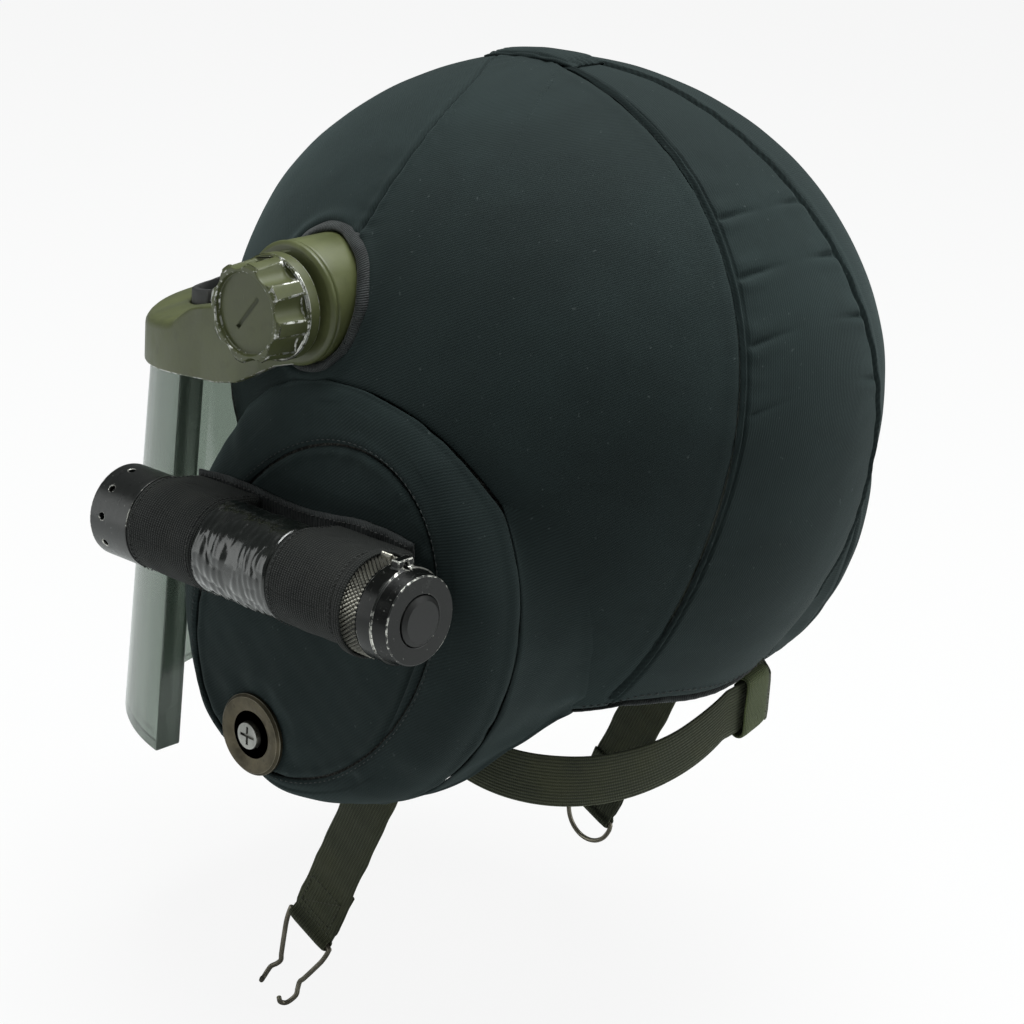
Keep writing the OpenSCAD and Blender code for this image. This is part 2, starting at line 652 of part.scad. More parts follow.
module visor_frame() {
    arm = [[-24, 9], [-48, -3], [-87, -9], [-144, -23], [-190, -27], [-190, 6], [-144, 10], [-117, 18],
        [-66, 31], [-52, 44], [-24, 66]];
    slot = [[-190, -7], [-144, -3], [-117, 5], [-92.6, 12], [-92.6, -60], [-190, -60]];
    side = [[lug_x, -10], [lug_x, -36], [bow_half, -72], [bow_half, bow_cy], [bow_half - arm_t, bow_cy],
        [bow_half - arm_t, -72], [lug_in, -36], [lug_in, -10]];
    color("#7f7d60") difference() {
        union() {
            intersection() {
                union() {
                    difference() {
                        bow_plan(0, -60, 60);
                        bow_plan(arm_t, -61, 61);
                        translate([-big, bow_cy, -70]) cube([2 * big, big, 200]);
                    }
                    difference() {
                        bow_plan(0, -60, 60);
                        bow_plan(bow_t, -61, 61);
                        translate([-big, glass_y - 2.5, -70]) cube([2 * big, 2 * big, 200]);
                    }
                    both_sides() prism_z(side, -60, 100);
                }
                prism_x(arm, -big, big);
            }
            both_sides() rod_x(lug_r, lug_in, lug_x, pivot_y, pivot_z);
        }
        both_sides() rod_x(bolt_r + gap, 100, 150, pivot_y, pivot_z);
        intersection() {
            difference() {
                glass_core(0, gap, -60, 30);
                glass_core(glass_t, -gap, -61, 31);
            }
            prism_x(slot, -big, big);
        }
        retainer_bores(1.8);
    }
}

module visor_glass() {
    body = [[-230, -10.9], [-144, -3.4], [-117, 4.5], [glass_y, 11], [glass_y, glass_z], [-230, glass_z]];
    color("#b9c2b4") difference() {
        intersection() {
            glass_core(0, 0, glass_z, 30);
            prism_x(body, -big, big);
        }
        glass_core(glass_t, 0, glass_z - 1, 31);
    }
}

module visor_seal() {
    color("#1b1c1d") difference() {
        intersection() {
            difference() {
                bow_plan(bow_t + gap, -60, 60);
                bow_plan(bow_t + gap + 3, -61, 61);
            }
            prism_x([[-190, -4], [-144, 0], [-117, 8], [-97, 14], [-97, 23], [-117, 17], [-144, 9],
                [-190, 5]], -big, big);
        }
        retainer_bores(4.6);
    }
}

module glass_retainer() {
    color("#6f6d53") difference() {
        intersection() {
            difference() {
                bow_plan(bow_t + gap, -60, 60);
                bow_plan(bow_t + gap + 2.4, -61, 61);
            }
            prism_x([[-190, -25.5], [-144, -21.5], [-100, -11], [-100, 0.7], [-144, -9.3],
                [-190, -13.3]], -big, big);
        }
        retainer_bores(1.8);
    }
}

function bore_at(i) = let (q = [-68, -40, 0, 40, 68][i], r = bow_r - bow_t) q == 0 ? [0, bow_cy - r,
    -18, 0] : [sign(q) * bow_cx + r * sin(q), bow_cy - r * cos(q), abs(q) > 50 ? -8.6 : -15, q];

module retainer_bores(r) {
    for (i = [0 : 4]) {
        p = bore_at(i);
        translate([p[0], p[1], p[2]]) rotate([0, 0, p[3]]) rotate([90, 0, 0]) translate([0, 0, -8])
            cylinder(r = r, h = 11, $fn = 32);
    }
}

module retainer_screws() {
    color("#55554f") for (i = [0 : 4]) {
        p = bore_at(i);
        translate([p[0], p[1], p[2]]) rotate([0, 0, p[3]]) rotate([90, 0, 0]) difference() {
            union() {
                translate([0, 0, -3.4]) cylinder(r = 1.5, h = 5.9, $fn = 32);
                translate([0, 0, -4.8]) cylinder(r1 = 2.6, r2 = 3.3, h = 1.8, $fn = 32);
            }
            translate([-3, -0.4, -5]) cube([6, 0.8, 0.9]);
        }
    }
}

module torch_frame() {
    translate([torch_x, 0, torch_z]) rotate([torch_tilt, 0, 0]) rotate([-90, 0, 0]) children();
}

module along(y0, y1, r) {
    translate([0, 0, y0]) cylinder(r = r, h = y1 - y0);
}

module torch_tube() {
    color("#33363a") torch_frame() difference() {
        union() {
            along(tube_front, cap_front + 5, tube_r - 1.2);
            along(head_back + gap, cap_front - gap, tube_r);
        }
        along(tube_front - 1, cap_front + 6, tube_r - tube_wall);
    }
}

module torch_head() {
    color("#2e3135") torch_frame() difference() {
        union() {
            along(torch_front + 1, head_back, head_r);
            translate([0, 0, torch_front]) cylinder(r1 = head_r - 1, r2 = head_r, h = 1.01);
        }
        along(torch_front - 1, torch_front + 2.5, head_r - 3.4);
        along(torch_front + 2.4, torch_front + 18.6, head_r - 2.4);
        along(torch_front + 18.5, head_back + 1, tube_r - 0.9);
        for (i = [0 : 4]) rotate([0, 0, 36 * i + 9]) translate([0, 0, torch_front + 8])
            rotate([90, 0, 0]) cylinder(r = 1.5, h = 60, center = true, $fn = 24);
    }
}

module torch_lens() {
    color("#cfd8dc") torch_frame() along(torch_front + 2.8, torch_front + 5.2, head_r - 2.7);
}

module torch_reflector() {
    color("#c8c8c4") torch_frame() difference() {
        translate([0, 0, torch_front + 5.5]) cylinder(r1 = head_r - 2.7, r2 = 6.4, h = 13);
        translate([0, 0, torch_front + 5.4]) cylinder(r1 = head_r - 3.9, r2 = 5.2, h = 13);
        along(torch_front + 17, torch_front + 20, 4);
    }
}

module torch_bulb() {
    color("#e8e2c8") torch_frame() union() {
        translate([0, 0, torch_front + 11]) sphere(r = 2.4, $fn = 32);
        along(torch_front + 11, torch_front + 16, 2.2);
        along(torch_front + 15.9, torch_front + 21, 3.6);
        along(torch_front + 19, torch_front + 21.4, tube_r - tube_wall - gap);
    }
}

module torch_cells() {
    l = (cap_front - 8 - tube_front - 3) / 2;
    y0 = torch_front + 21.7;
    color("#8a5a3c") torch_frame() for (i = [0, 1]) {
        translate([0, 0, y0 + i * (l - 1.2)]) union() {
            along(1.6, l - 2, tube_r - tube_wall - gap);
            along(0, 1.7, 3);
        }
    }
}

module torch_spring() {
    turns = 4;
    n = 16;
    k = 8;
    y0 = torch_front + 21.7 + 2 * ((cap_front - 8 - tube_front - 3) / 2 - 1.2) + 0.2;
    y1 = torch_tail - 13;
    function ctr(i) = let (q = 360 * i / n, r = 11 - 4 * i / (turns * n)) [r * cos(q), r * sin(q),
        y0 + (y1 - y0) * i / (turns * n)];
    pts = [for (i = [0 : turns * n]) for (j = [0 : k - 1]) let (q = 360 * i / n, c = ctr(i),
        a = 360 * j / k) [c[0] + 0.8 * cos(a) * cos(q), c[1] + 0.8 * cos(a) * sin(q), c[2] + 0.8
        * sin(a)]];
    sides = [for (i = [0 : turns * n - 1]) for (j = [0 : k - 1]) each [[i * k + j, (i + 1) * k + (j + 1)
        % k, (i + 1) * k + j], [i * k + j, i * k + (j + 1) % k, (i + 1) * k + (j + 1) % k]]];
    ends = [[for (j = [k - 1 : -1 : 0]) j], [for (j = [0 : k - 1]) turns * n * k + j]];
    color("#a6a8a8") torch_frame() polyhedron(points = pts, faces = concat(sides, ends), convexity = 8);
}

module torch_tailcap() {
    color("#3a3d41") torch_frame() difference() {
        union() {
            along(cap_front, cap_front + 12, head_r - 0.5);
            along(cap_front + 11.9, torch_tail - 7, head_r);
            translate([0, 0, torch_tail - 7.01]) cylinder(r1 = head_r - 0.4, r2 = head_r - 1.6, h = 7.01);
            translate([-4, -head_r - 3, torch_tail - 12]) cube([8, 8, 4]);
        }
        along(cap_front - 1, cap_front + 5.5, tube_r - 1.2 + gap);
        along(cap_front + 5.4, torch_tail - 12, 14);
        along(torch_tail - 10.4, torch_tail - 2.5, 11.6);
        along(torch_tail - 3, torch_tail + 1, 10.3);
        translate([0, -head_r - 0.6, torch_tail - 20]) cylinder(r = 1.3, h = 20, $fn = 24);
    }
}

module torch_button() {
    color("#222326") torch_frame() union() {
        along(torch_tail - 7.5, torch_tail - 2.9, 11.2);
        along(torch_tail - 3, torch_tail + 0.4, 10);
        translate([0, 0, torch_tail + 0.39]) cylinder(r1 = 10, r2 = 8.2, h = 1.2);
    }
}

module wrap(y0, y1, t) {
    difference() {
        along(y0, y1, tube_r + gap + t);
        along(y0 - 1, y1 + 1, tube_r + gap);
    }
}

module torch_tape() {
    color("#1a1a1b") torch_frame() wrap(band_front_y + band_w + gap, band_rear_y - gap, 1.1);
}

module torch_band_front() {
    color("#1d1e21") torch_frame() wrap(band_front_y, band_front_y + band_w, 1.4);
}

module torch_band_rear() {
    color("#1d1e21") torch_frame() wrap(band_rear_y, band_rear_y + band_w, 1.4);
}

module torch_backing() {
    color("#191a1d") translate([panel_x + gap, 0, torch_z]) rotate([torch_tilt, 0, 0])
        translate([0, band_front_y + 1, -15]) cube([1.2, band_rear_y + band_w - band_front_y, 30]);
}

module cup_washer() {
    translate([panel_x + 0.2, cup_screw_y, cup_screw_z]) rotate([0, 90, 0]) difference() {
        union() {
            cylinder(r = washer_r, h = 1.4);
            translate([0, 0, 1.3]) cylinder(r1 = washer_r, r2 = washer_r - 1.2, h = 1.2);
        }
        translate([0, 0, 1.2]) cylinder(r1 = 9.6, r2 = washer_r - 3.5, h = 1.31);
        translate([0, 0, -1]) cylinder(r = 3.3, h = 10);
    }
}

module cup_washers() {
    color("#a39c86") both_sides() cup_washer();
}

module cup_screw() {
    translate([panel_x + 0.2, cup_screw_y, cup_screw_z]) rotate([0, 90, 0]) difference() {
        union() {
            translate([0, 0, 1.5]) cylinder(r1 = cup_head_r, r2 = cup_head_r - 0.5, h = 2.2);
            translate([0, 0, -27]) cylinder(r = 3, h = 28.6);
        }
        translate([-4, -0.6, 2.3]) cube([8, 1.2, 3]);
        translate([-0.6, -4, 2.3]) cube([1.2, 8, 3]);
    }
}

module cup_screws() {
    color("#b9b5a6") both_sides() cup_screw();
}

module strap_anchor() {
    union() {
        rod_x(stud_r, strap_x - 6, drum_x + 3, stud_y, stud_z);
        rod_x(7, strap_x - 7, strap_x - 5.5, stud_y, stud_z);
        intersection() {
            rod_x(9, drum_x + 2, dome_half_width, stud_y, stud_z);
            dish(concat(dish_curve(-plate_gap - 2 * gap - plate_wall), [[0, bowl_x]]));
        }
    }
}

module strap_anchors() {
    color("#6b6b66") both_sides() strap_anchor();
}

module strap_body() {
    translate([strap_x, stud_y, stud_z]) rotate([-chin_lean, 0, 0]) difference() {
        union() {
            translate([0, -web_w / 2, -chin_l + 2]) cube([web_t, web_w, chin_l - 2]);
            rotate([0, 90, 0]) cylinder(r = web_w / 2, h = web_t);
            translate([web_t / 2, web_w / 2 - 2, -chin_l]) rotate([90, 0, 0]) cylinder(r = wire_r + gap
                + web_t, h = web_w - 4, $fn = 48);
        }
        translate([-1, 0, 0]) rotate([0, 90, 0]) cylinder(r = stud_r + gap, h = 10, $fn = 48);
        translate([web_t / 2, web_w / 2, -chin_l]) rotate([90, 0, 0]) cylinder(r = wire_r + gap,
            h = web_w, $fn = 48);
    }
}

module chin_strap_left() {
    color("#6c6d4a") strap_body();
}

module chin_strap_right() {
    color("#6c6d4a") mirror([1, 0, 0]) strap_body();
}

module at_bar() {
    translate([strap_x, stud_y, stud_z]) rotate([-chin_lean, 0, 0]) translate([web_t / 2, 0, -chin_l])
        children();
}

module chin_hook() {
    w = web_w / 2 + 0.8;
    leg = [[0, w - 1, -0.3], [0, w, -1.6], [0, w - 0.6, -8], [0, w - 2.4, -15], [0, 8, -25],
        [0, 6.8, -28.4], [0.6, 7.6, -31.4], [1.8, 9, -34.4], [4.6, 8.2, -38.4], [7.4, 6.8, -38.2],
        [8.8, 6, -35.4]];
    path = concat([for (i = [len(leg) - 1 : -1 : 0]) leg[i]], [[0, 4, 0], [0, -4, 0]],
        [for (q = leg) [q[0], -q[1], q[2]]]);
    color("#9d9a8c") at_bar() tube(path, wire_r, false);
}

module chin_ring() {
    w = web_w / 2 + 0.8;
    arc = [for (a = [0 : 20 : 180]) [0, w * cos(a), -4 - 14 * sin(a)]];
    path = concat([[0, 4, 0], [0, w - 1.6, 0], [0, w - 0.4, -1.2]], arc, [[0, 0.4 - w, -1.2],
        [0, 1.6 - w, 0], [0, -4, 0]]);
    color("#9d9a8c") mirror([1, 0, 0]) at_bar() tube(path, wire_r, true);
}

keeper_q = 109.6;
nape_cy = 38;
nape_ry = 62;
nape_rx = strap_x - 2.8;

function sag(u) = let (t = min(u / 0.88, 1)) -137 - 9 * sin(180 * t) + 6 * pow(t, 6);
function nape_u(q) = q < keeper_q ? q / keeper_q : (180 - q) / (180 - keeper_q);
function nape_ctr(q) = [nape_rx * cos(q), nape_cy + nape_ry * sin(q), q < 0 || q > 180 ? -137
    : sag(nape_u(q))];
function nape_nrm(q) = let (n = [cos(q) / nape_rx, sin(q) / nape_ry]) [n[0], n[1], 0] / norm(n);

module nape_strap() {
    n = 44;
    m = 4;
    a = nape_w / 2;
    mid = [for (i = [0 : n]) let (q = 180 * i / n) [nape_ctr(q), nape_nrm(q)]];
    run = concat([[[nape_rx, 0, -137], [1, 0, 0]]], mid, [[[-nape_rx, 0, -137], [-1, 0, 0]]]);
    k = len(run);
    pts = [for (r = run) each [r[0] + r[1] * web_t / 2 + [0, 0, a], r[0] + r[1] * web_t / 2 - [0, 0, a],
        r[0] - r[1] * web_t / 2 - [0, 0, a], r[0] - r[1] * web_t / 2 + [0, 0, a]]];
    sides = [for (i = [0 : k - 2]) for (j = [0 : m - 1]) each [[i * m + j, (i + 1) * m + (j + 1) % m,
        (i + 1) * m + j], [i * m + j, i * m + (j + 1) % m, (i + 1) * m + (j + 1) % m]]];
    ends = [[0, 2, 1], [0, 3, 2], [(k - 1) * m, (k - 1) * m + 1, (k - 1) * m + 2], [(k - 1) * m,
        (k - 1) * m + 2, (k - 1) * m + 3]];
    color("#67694a") difference() {
        polyhedron(points = pts, faces = under(concat(sides, ends)), convexity = 8);
        both_sides() rod_x(stud_r + gap, strap_x - 11, strap_x + 9, stud_y, stud_z);
    }
}

module nape_keeper() {
    c = nape_ctr(keeper_q);
    w = 20;
    top = nape_w / 2 + 2.4;
    color("#5f6144") translate(c) rotate([0, 0, atan2(nape_nrm(keeper_q)[0], -nape_nrm(keeper_q)[1])
        + 180]) difference() {
        union() {
            translate([-w / 2, -3.8, -top]) cube([w, 7.6, 2 * top]);
            translate([-w / 2, -12.6, top - 2]) cube([w, 9.6, 2]);
            translate([-w / 2, -12.6, top - 2]) cube([w, 2, 22]);
        }
        translate([-w, -2, 0.6 - top + 1.2]) cube([2 * w, 4, 2 * top - 3.6]);
    }
}

shell();
ear_plate_left();
ear_plate_right();
ear_foam_left();
ear_foam_right();
brow_trim();
nape_trim();
cover_front();
cover_left();
cover_right();
cover_rear();
crown_welt();
cup_skirt_left();
cup_skirt_right();
ear_ring_left();
ear_ring_right();
ear_panel_left();
ear_panel_right();
slot_binding_left();
slot_binding_right();
pad_front();
pad_rear();
pad_crown();
side_pads();
ear_cushions();
pivot_housing_left();
pivot_housing_right();
pivot_bolt_left();
pivot_bolt_right();
friction_washer_left();
friction_washer_right();
clamp_knob_left();
clamp_knob_right();
visor_frame();
visor_glass();
visor_seal();
glass_retainer();
retainer_screws();
torch_tube();
torch_head();
torch_lens();
torch_reflector();
torch_bulb();
torch_cells();
torch_spring();
torch_tailcap();
torch_button();
torch_tape();
torch_band_front();
torch_band_rear();
torch_backing();
cup_washers();
cup_screws();
strap_anchors();
chin_strap_left();
chin_hook();
chin_strap_right();
chin_ring();
nape_strap();
nape_keeper();
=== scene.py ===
"""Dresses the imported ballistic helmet.

Cloth cover, ear cups, liner, webbing, torch wraps, metal and glass finishes, and a plain stage.
"""

import math

import bmesh
import bpy
import numpy as np
from mathutils import Matrix, Vector


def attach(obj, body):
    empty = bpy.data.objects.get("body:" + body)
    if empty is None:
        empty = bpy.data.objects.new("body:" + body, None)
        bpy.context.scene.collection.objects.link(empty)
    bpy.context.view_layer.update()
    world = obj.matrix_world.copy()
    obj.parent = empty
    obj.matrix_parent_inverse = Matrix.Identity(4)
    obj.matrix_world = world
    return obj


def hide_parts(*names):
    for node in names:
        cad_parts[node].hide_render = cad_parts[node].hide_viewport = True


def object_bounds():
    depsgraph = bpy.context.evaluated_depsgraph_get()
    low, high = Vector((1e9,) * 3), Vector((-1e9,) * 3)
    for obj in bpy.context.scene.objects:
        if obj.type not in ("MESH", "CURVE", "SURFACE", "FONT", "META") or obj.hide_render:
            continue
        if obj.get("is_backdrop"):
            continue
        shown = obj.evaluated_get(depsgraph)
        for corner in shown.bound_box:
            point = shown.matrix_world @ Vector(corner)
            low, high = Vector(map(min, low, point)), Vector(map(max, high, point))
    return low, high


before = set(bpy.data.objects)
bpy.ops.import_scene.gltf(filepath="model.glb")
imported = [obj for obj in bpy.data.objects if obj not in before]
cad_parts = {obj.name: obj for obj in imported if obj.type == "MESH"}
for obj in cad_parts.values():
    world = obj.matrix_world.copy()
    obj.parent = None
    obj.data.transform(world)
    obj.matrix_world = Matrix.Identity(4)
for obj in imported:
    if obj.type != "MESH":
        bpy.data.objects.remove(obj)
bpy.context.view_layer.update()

bl_info = {
    "name": "Ballistic Helmet Dresser",
    "version": (1, 0, 0),
    "blender": (4, 5, 0),
    "location": "View3D > Sidebar > Helmet",
    "description": "Sews the cover, weaves the straps and finishes the metal of a packed ballistic helmet",
    "category": "Object",
}

MM = 0.001

# The covered dome: two half ellipsoids, in millimetres from the head seat.
DOME_W, DOME_L, DOME_H, DOME_DROP = 125.0, 144.0, 125.0, 165.0
CLOTH = 1.2
SHELL_IN = 6.79
PAD_OUT = 7.69
BROW_TURN, NAPE_TURN = 149.5, -18.0

# The ear cup: an outer oval on the dome and a smaller disc on its face.
EAR_Y, EAR_Z, EAR_A, EAR_B, EAR_TILT = -3.0, -79.0, 97.0, 84.0, 52.0
DISC_Y, DISC_Z, DISC_A, DISC_B, DISC_TILT = -4.0, -84.5, 84.0, 58.0, 55.0
DISC_X, WALL_X, CUSHION_X = 131.0, 105.0, 98.0 - 1.6 - 0.3
WASHER_Y, WASHER_Z = -33.0, -146.0
SKIRT_FROM, SKIRT_TO = -207, 42

# The visor pivot and what turns on it.
PIVOT_Y, PIVOT_Z = -23.0, 40.0
OPEN_R, COLLAR_R, KNOB_X = 25.4, 24.3, 133.3

# The torch strapped to the left cup.
TORCH_X, TORCH_Z, TORCH_TILT = 152.0, -57.0, 2.0
TUBE_R, TORCH_FRONT, TORCH_TAIL, BAND_W = 17.5, -92.0, 77.0, 38.0
HEAD_BACK = TORCH_FRONT + 23.0
CAP_FRONT = TORCH_TAIL - 26.7
BAND_FRONT_Y = HEAD_BACK + 0.3
BAND_REAR_Y = CAP_FRONT - 0.3 - BAND_W

# Straps.
WEB_W, WEB_T, CHIN_L, CHIN_LEAN, STUD_Y, STUD_Z = 25.0, 1.8, 122.0, 23.5, 14.0, -138.0
NAPE_W, NAPE_RX, NAPE_RY, NAPE_CY, NAPE_Z, KEEPER_Q = 22.0, 88.2, 62.0, 38.0, -137, 109.6
WIRE_R = 1.1

# Seams as (distance from the middle, turn about the ears), and round the cup's top as (y, z).
CROWN_SEAM = [(0.15, 99.2), (15, 98.2), (32, 95.5), (49, 93.6), (76, 92.3), (96, 92.7), (103.5, 93.2)]
REAR_SEAM = [(0.15, 89.4), (9, 88.6), (15, 81), (20, 73.5), (27, 61), (35, 48.7), (41, 40), (45, 33), (51, 17.5),
             (53.5, 0), (53, -17)]
EAR_SEAM = [(-47, 8), (-61, -7), (-70, -17), (-79, -27.5)]
SKIRT_IN = [(-207, 94), (-202, 92), (-190, 92), (-170, 95), (-62, 95), (-44, 87), (-37, 84), (-30, 66)]
SIDE_FAN = [(0, 145.5), (1, 138.5), (2, 131), (3, 122), (4, 114), (5, 106), (6, 98.5), (7, 93), (8, 89), (9, 86),
            (10, 83), (11, 80), (15, 76), (16, 74), (17, 71), (18, 67), (22, 56), (26, 30)]
NAPE_DIP = [(0, -0.5), (30, 0.5), (45, -1), (60, -7), (72, -11)]
NAPE_X = 66.0

# Lengths on the cloth for a radian of turn, up the dome's side and over its middle.
SIDE_REACH, TURN_REACH = 130, 175.0

SIDES = (("left", 1), ("right", -1))

# The photograph's camera, fitted to the dome.
PHOTO_SIZE = 1024
CAM_TURN, CAM_RISE, NOSE_UP, CAM_REACH, CAM_FOCUS = 43.0, 17.0, 5.0, 1250.0, 3000.0
DOME_PIXEL = (552.6, 357.4)
SENSOR = 36.0


# numbers


def sind(a):
    return np.sin(np.radians(a))


def cosd(a):
    return np.cos(np.radians(a))


def sin_of(a, times=1):
    return math.sin(math.radians(a) * times)


def asind(a):
    return np.degrees(np.arcsin(np.clip(a, -1, 1)))


def lookup(x, table):
    xs, ys = zip(*table)
    return np.interp(x, xs, ys)


def mix(a, b, f):
    return a + (b - a) * f


def unit(v):
    return v / np.linalg.norm(v, axis=-1, keepdims=True)


def run_along(points):
    """The length run from a line's first point to each of its points."""
    return np.concatenate([[0], np.cumsum(np.linalg.norm(np.diff(points, axis=0), axis=1))])


def oval(q, y, z, a, b, tilt):
    """A tilted oval in the helmet's side plane, as (y, z) round the turn q."""
    return np.stack([y + a * cosd(q) * cosd(tilt) - b * sind(q) * sind(tilt),
                     z + a * cosd(q) * sind(tilt) + b * sind(q) * cosd(tilt)], -1)


def off_zero(t):
    """How far a turn in degrees is from 0, either way round."""
    return np.abs((t + 180) % 360 - 180)


def square_grid(rows, cols):
    """Two grids from -1 to 1, one down and one across."""
    return np.broadcast_arrays(np.linspace(-1, 1, rows)[:, None], np.linspace(-1, 1, cols)[None])


def ramp(x, start, width):
    """Rises from 0 to 1 over a width."""
    return np.clip((x - start) / width, 0, 1)


def hump(d, middle, width):
    """A soft bump of height 1 at a distance, falling off over a width."""
    return np.exp(-(((d - middle) / width) ** 2))


def smooth_at(points, t):
    """A smooth curve through points, at the running index t."""
    pts = np.asarray(points, float)
    i = np.clip(np.floor(t).astype(int), 0, len(pts) - 2)
    f = (t - i)[..., None]
    p1, p2 = pts[i], pts[i + 1]
    p0 = np.where((i > 0)[..., None], pts[np.maximum(i - 1, 0)], 2 * p1 - p2)
    p3 = np.where((i < len(pts) - 2)[..., None], pts[np.minimum(i + 2, len(pts) - 1)], 2 * p2 - p1)
    bend, twist = 2 * p0 - 5 * p1 + 4 * p2 - p3, 3 * p1 - p0 - 3 * p2 + p3
    return 0.5 * (2 * p1 + (p2 - p0) * f + bend * f**2 + twist * f**3)


def smooth_line(points, n):
    """n points along a smooth curve from the first point to the last."""
    return smooth_at(points, np.linspace(0, len(points) - 1, n))


def ripple(p, wavelength, seed, waves=7):
    """A smooth irregular field of about -1 to 1 over points in space."""
    rng = np.random.default_rng(seed)
    total = np.zeros(p.shape[:-1])
    for _ in range(waves):
        way = rng.normal(size=3)
        way *= 2 * math.pi / (wavelength * rng.uniform(0.7, 1.5)) / np.linalg.norm(way)
        total += np.sin(p @ way + rng.uniform(0, 2 * math.pi))
    return total / math.sqrt(waves) * 0.8


def near(points, line):
    """The distance of points from a polyline's dense points, and the length along it at the nearest one."""
    flat = points.reshape(-1, 3)
    run = run_along(line)
    far, where = np.empty(len(flat)), np.empty(len(flat))
    at_once = 8000
    for k in range(0, len(flat), at_once):
        gap = np.linalg.norm(flat[k : k + at_once, None] - line[None], axis=2)
        best = gap.argmin(1)
        far[k : k + at_once] = gap[np.arange(len(best)), best]
        where[k : k + at_once] = run[best]
    return far.reshape(points.shape[:-1]), where.reshape(points.shape[:-1])


def crowded(n, share, power, both=False):
    """A column of n steps from 0 to 1 that crowd at 1, or at both ends."""
    t = np.linspace(0, 1, n)
    close = 1 - (1 - t) ** power
    if both:
        close = np.where(t < 0.5, 0.5 * (2 * t) ** power, 1 - 0.5 * (2 - 2 * t) ** power)
    return (t * (1 - share) + close * share)[:, None]


# the dome's form


def half_width(y, z, inset=0.0):
    h = np.where(z > 0, DOME_H, DOME_DROP) - inset
    return (DOME_W - inset) * np.sqrt(np.clip(1 - (y / (DOME_L - inset)) ** 2 - (z / h) ** 2, 0, None))


def oval_reach(p):
    return EAR_A * EAR_B / np.sqrt((EAR_B * cosd(p - EAR_TILT)) ** 2 + (EAR_A * sind(p - EAR_TILT)) ** 2)


def from_ear(x, r, p):
    """A point at x, a reach and a turn from the ear's axis."""
    return np.stack(np.broadcast_arrays(x, EAR_Y + r * cosd(p), EAR_Z + r * sind(p)), -1)


def ear_width(p, inset=0.0):
    r = oval_reach(p)
    return half_width(EAR_Y + r * cosd(p), EAR_Z + r * sind(p), inset)


def ray_reach(x, p, inset=0.0):
    def root(h):
        long, tall = DOME_L - inset, h - inset
        a = (cosd(p) / long) ** 2 + (sind(p) / tall) ** 2
        b = EAR_Y * cosd(p) / long**2 + EAR_Z * sind(p) / tall**2
        c = (EAR_Y / long) ** 2 + (EAR_Z / tall) ** 2 - 1 + (x / (DOME_W - inset)) ** 2
        return (-b + np.sqrt(np.clip(b * b - a * c, 0, None))) / a

    r = root(DOME_H)
    return np.where(EAR_Z + r * sind(p) >= 0, r, root(DOME_DROP))


def dome_point(w, p, inset=0.0):
    """A point of the dome: w from 0 in the middle to 1 at the cup's edge, p the turn about the ears."""
    w, p = np.broadcast_arrays(np.asarray(w, float), np.asarray(p, float))
    x = w * ear_width(p, inset)
    r = np.where(np.abs(w) > 0.9999, oval_reach(p), ray_reach(x, p, inset))
    return from_ear(x, r, p)


def dome_out(p):
    """The outward direction of the dome at points near it."""
    tall = np.where(p[..., 2] > 0, DOME_H, DOME_DROP)
    return unit(np.stack([p[..., 0] / DOME_W**2, p[..., 1] / DOME_L**2, p[..., 2] / tall**2], -1))


def nape_turn(x):
    return NAPE_TURN + lookup(np.abs(x), NAPE_DIP)


def rear_seam_x(turn):
    """The rear seam's distance from the middle at a turn about the ears."""
    return np.interp(turn, [q[1] for q in REAR_SEAM[::-1]], [q[0] for q in REAR_SEAM[::-1]])


def seam_spot(x, p):
    return np.array([x / ear_width(p), p])


def ring_spot(y, z):
    p = math.degrees(math.atan2(z - EAR_Z, y - EAR_Y))
    return np.array([min(1.0, half_width(y, z) / ear_width(p)), p])


def opening_arc(a, b):
    r = (OPEN_R + 1.1) / cosd((b - a) / 14)
    return [ring_spot(PIVOT_Y + r * cosd(t), PIVOT_Z + r * sind(t)) for t in np.linspace(a, b, 8)]


def hem_line(a, b):
    crown = [seam_spot(x, p) for x, p in CROWN_SEAM]
    return np.array(crown + opening_arc(a, b) + [ring_spot(y, z) for y, z in EAR_SEAM])


FRONT_LINE = hem_line(64, 231)
REAR_LINE = hem_line(60, -125)
LAST = len(FRONT_LINE) - 1
SIDE_HEM = np.concatenate([REAR_LINE[::-1], [seam_spot(x + 0.15, max(p, float(nape_turn(x)))) for x, p in REAR_SEAM]])
HEM_LAST = len(SIDE_HEM) - 1


def dense_line(table, n):
    q = smooth_line(table, n)
    return dome_point(np.clip(q[:, 0], 0, 1), q[:, 1])


def ring_normals(grid):
    """The directions square to a grid of points that closes on itself across."""
    padded = np.concatenate([grid[:, -2:], grid, grid[:, :2]], 1)
    along = np.gradient(padded, axis=1)[:, 2:-2]
    n = np.cross(np.gradient(grid, axis=0), along)
    return n / np.maximum(np.linalg.norm(n, axis=-1, keepdims=True), 1e-9)


FRONT_SEAM_3D = dense_line(FRONT_LINE[:8], 260)
OPENING_3D = np.concatenate([dense_line(FRONT_LINE[7:15], 120), dense_line(REAR_LINE[7:15], 120)])
REAR_SEAM_3D = dense_line(SIDE_HEM[LAST + 1 :], 420)


def mirrored(p):
    return p * np.array([-1.0, 1.0, 1.0])


# meshes


def facing(n, reference):
    return n * np.where((n * reference).sum(-1, keepdims=True) < 0, -1.0, 1.0)


def grid_faces(rows, cols, wrap=False, start=0, loop=False):
    """Faces of a grid of points; wrap closes it across, loop closes it down."""
    i, j = np.meshgrid(np.arange(rows if loop else rows - 1), np.arange(cols if wrap else cols - 1), indexing="ij")
    below, k = (i + 1) % rows, (j + 1) % cols
    quad = np.stack([i * cols + j, i * cols + k, below * cols + k, below * cols + j], -1).reshape(-1, 4)
    return (quad + start).tolist()


def flip(faces):
    return [f[::-1] for f in faces]


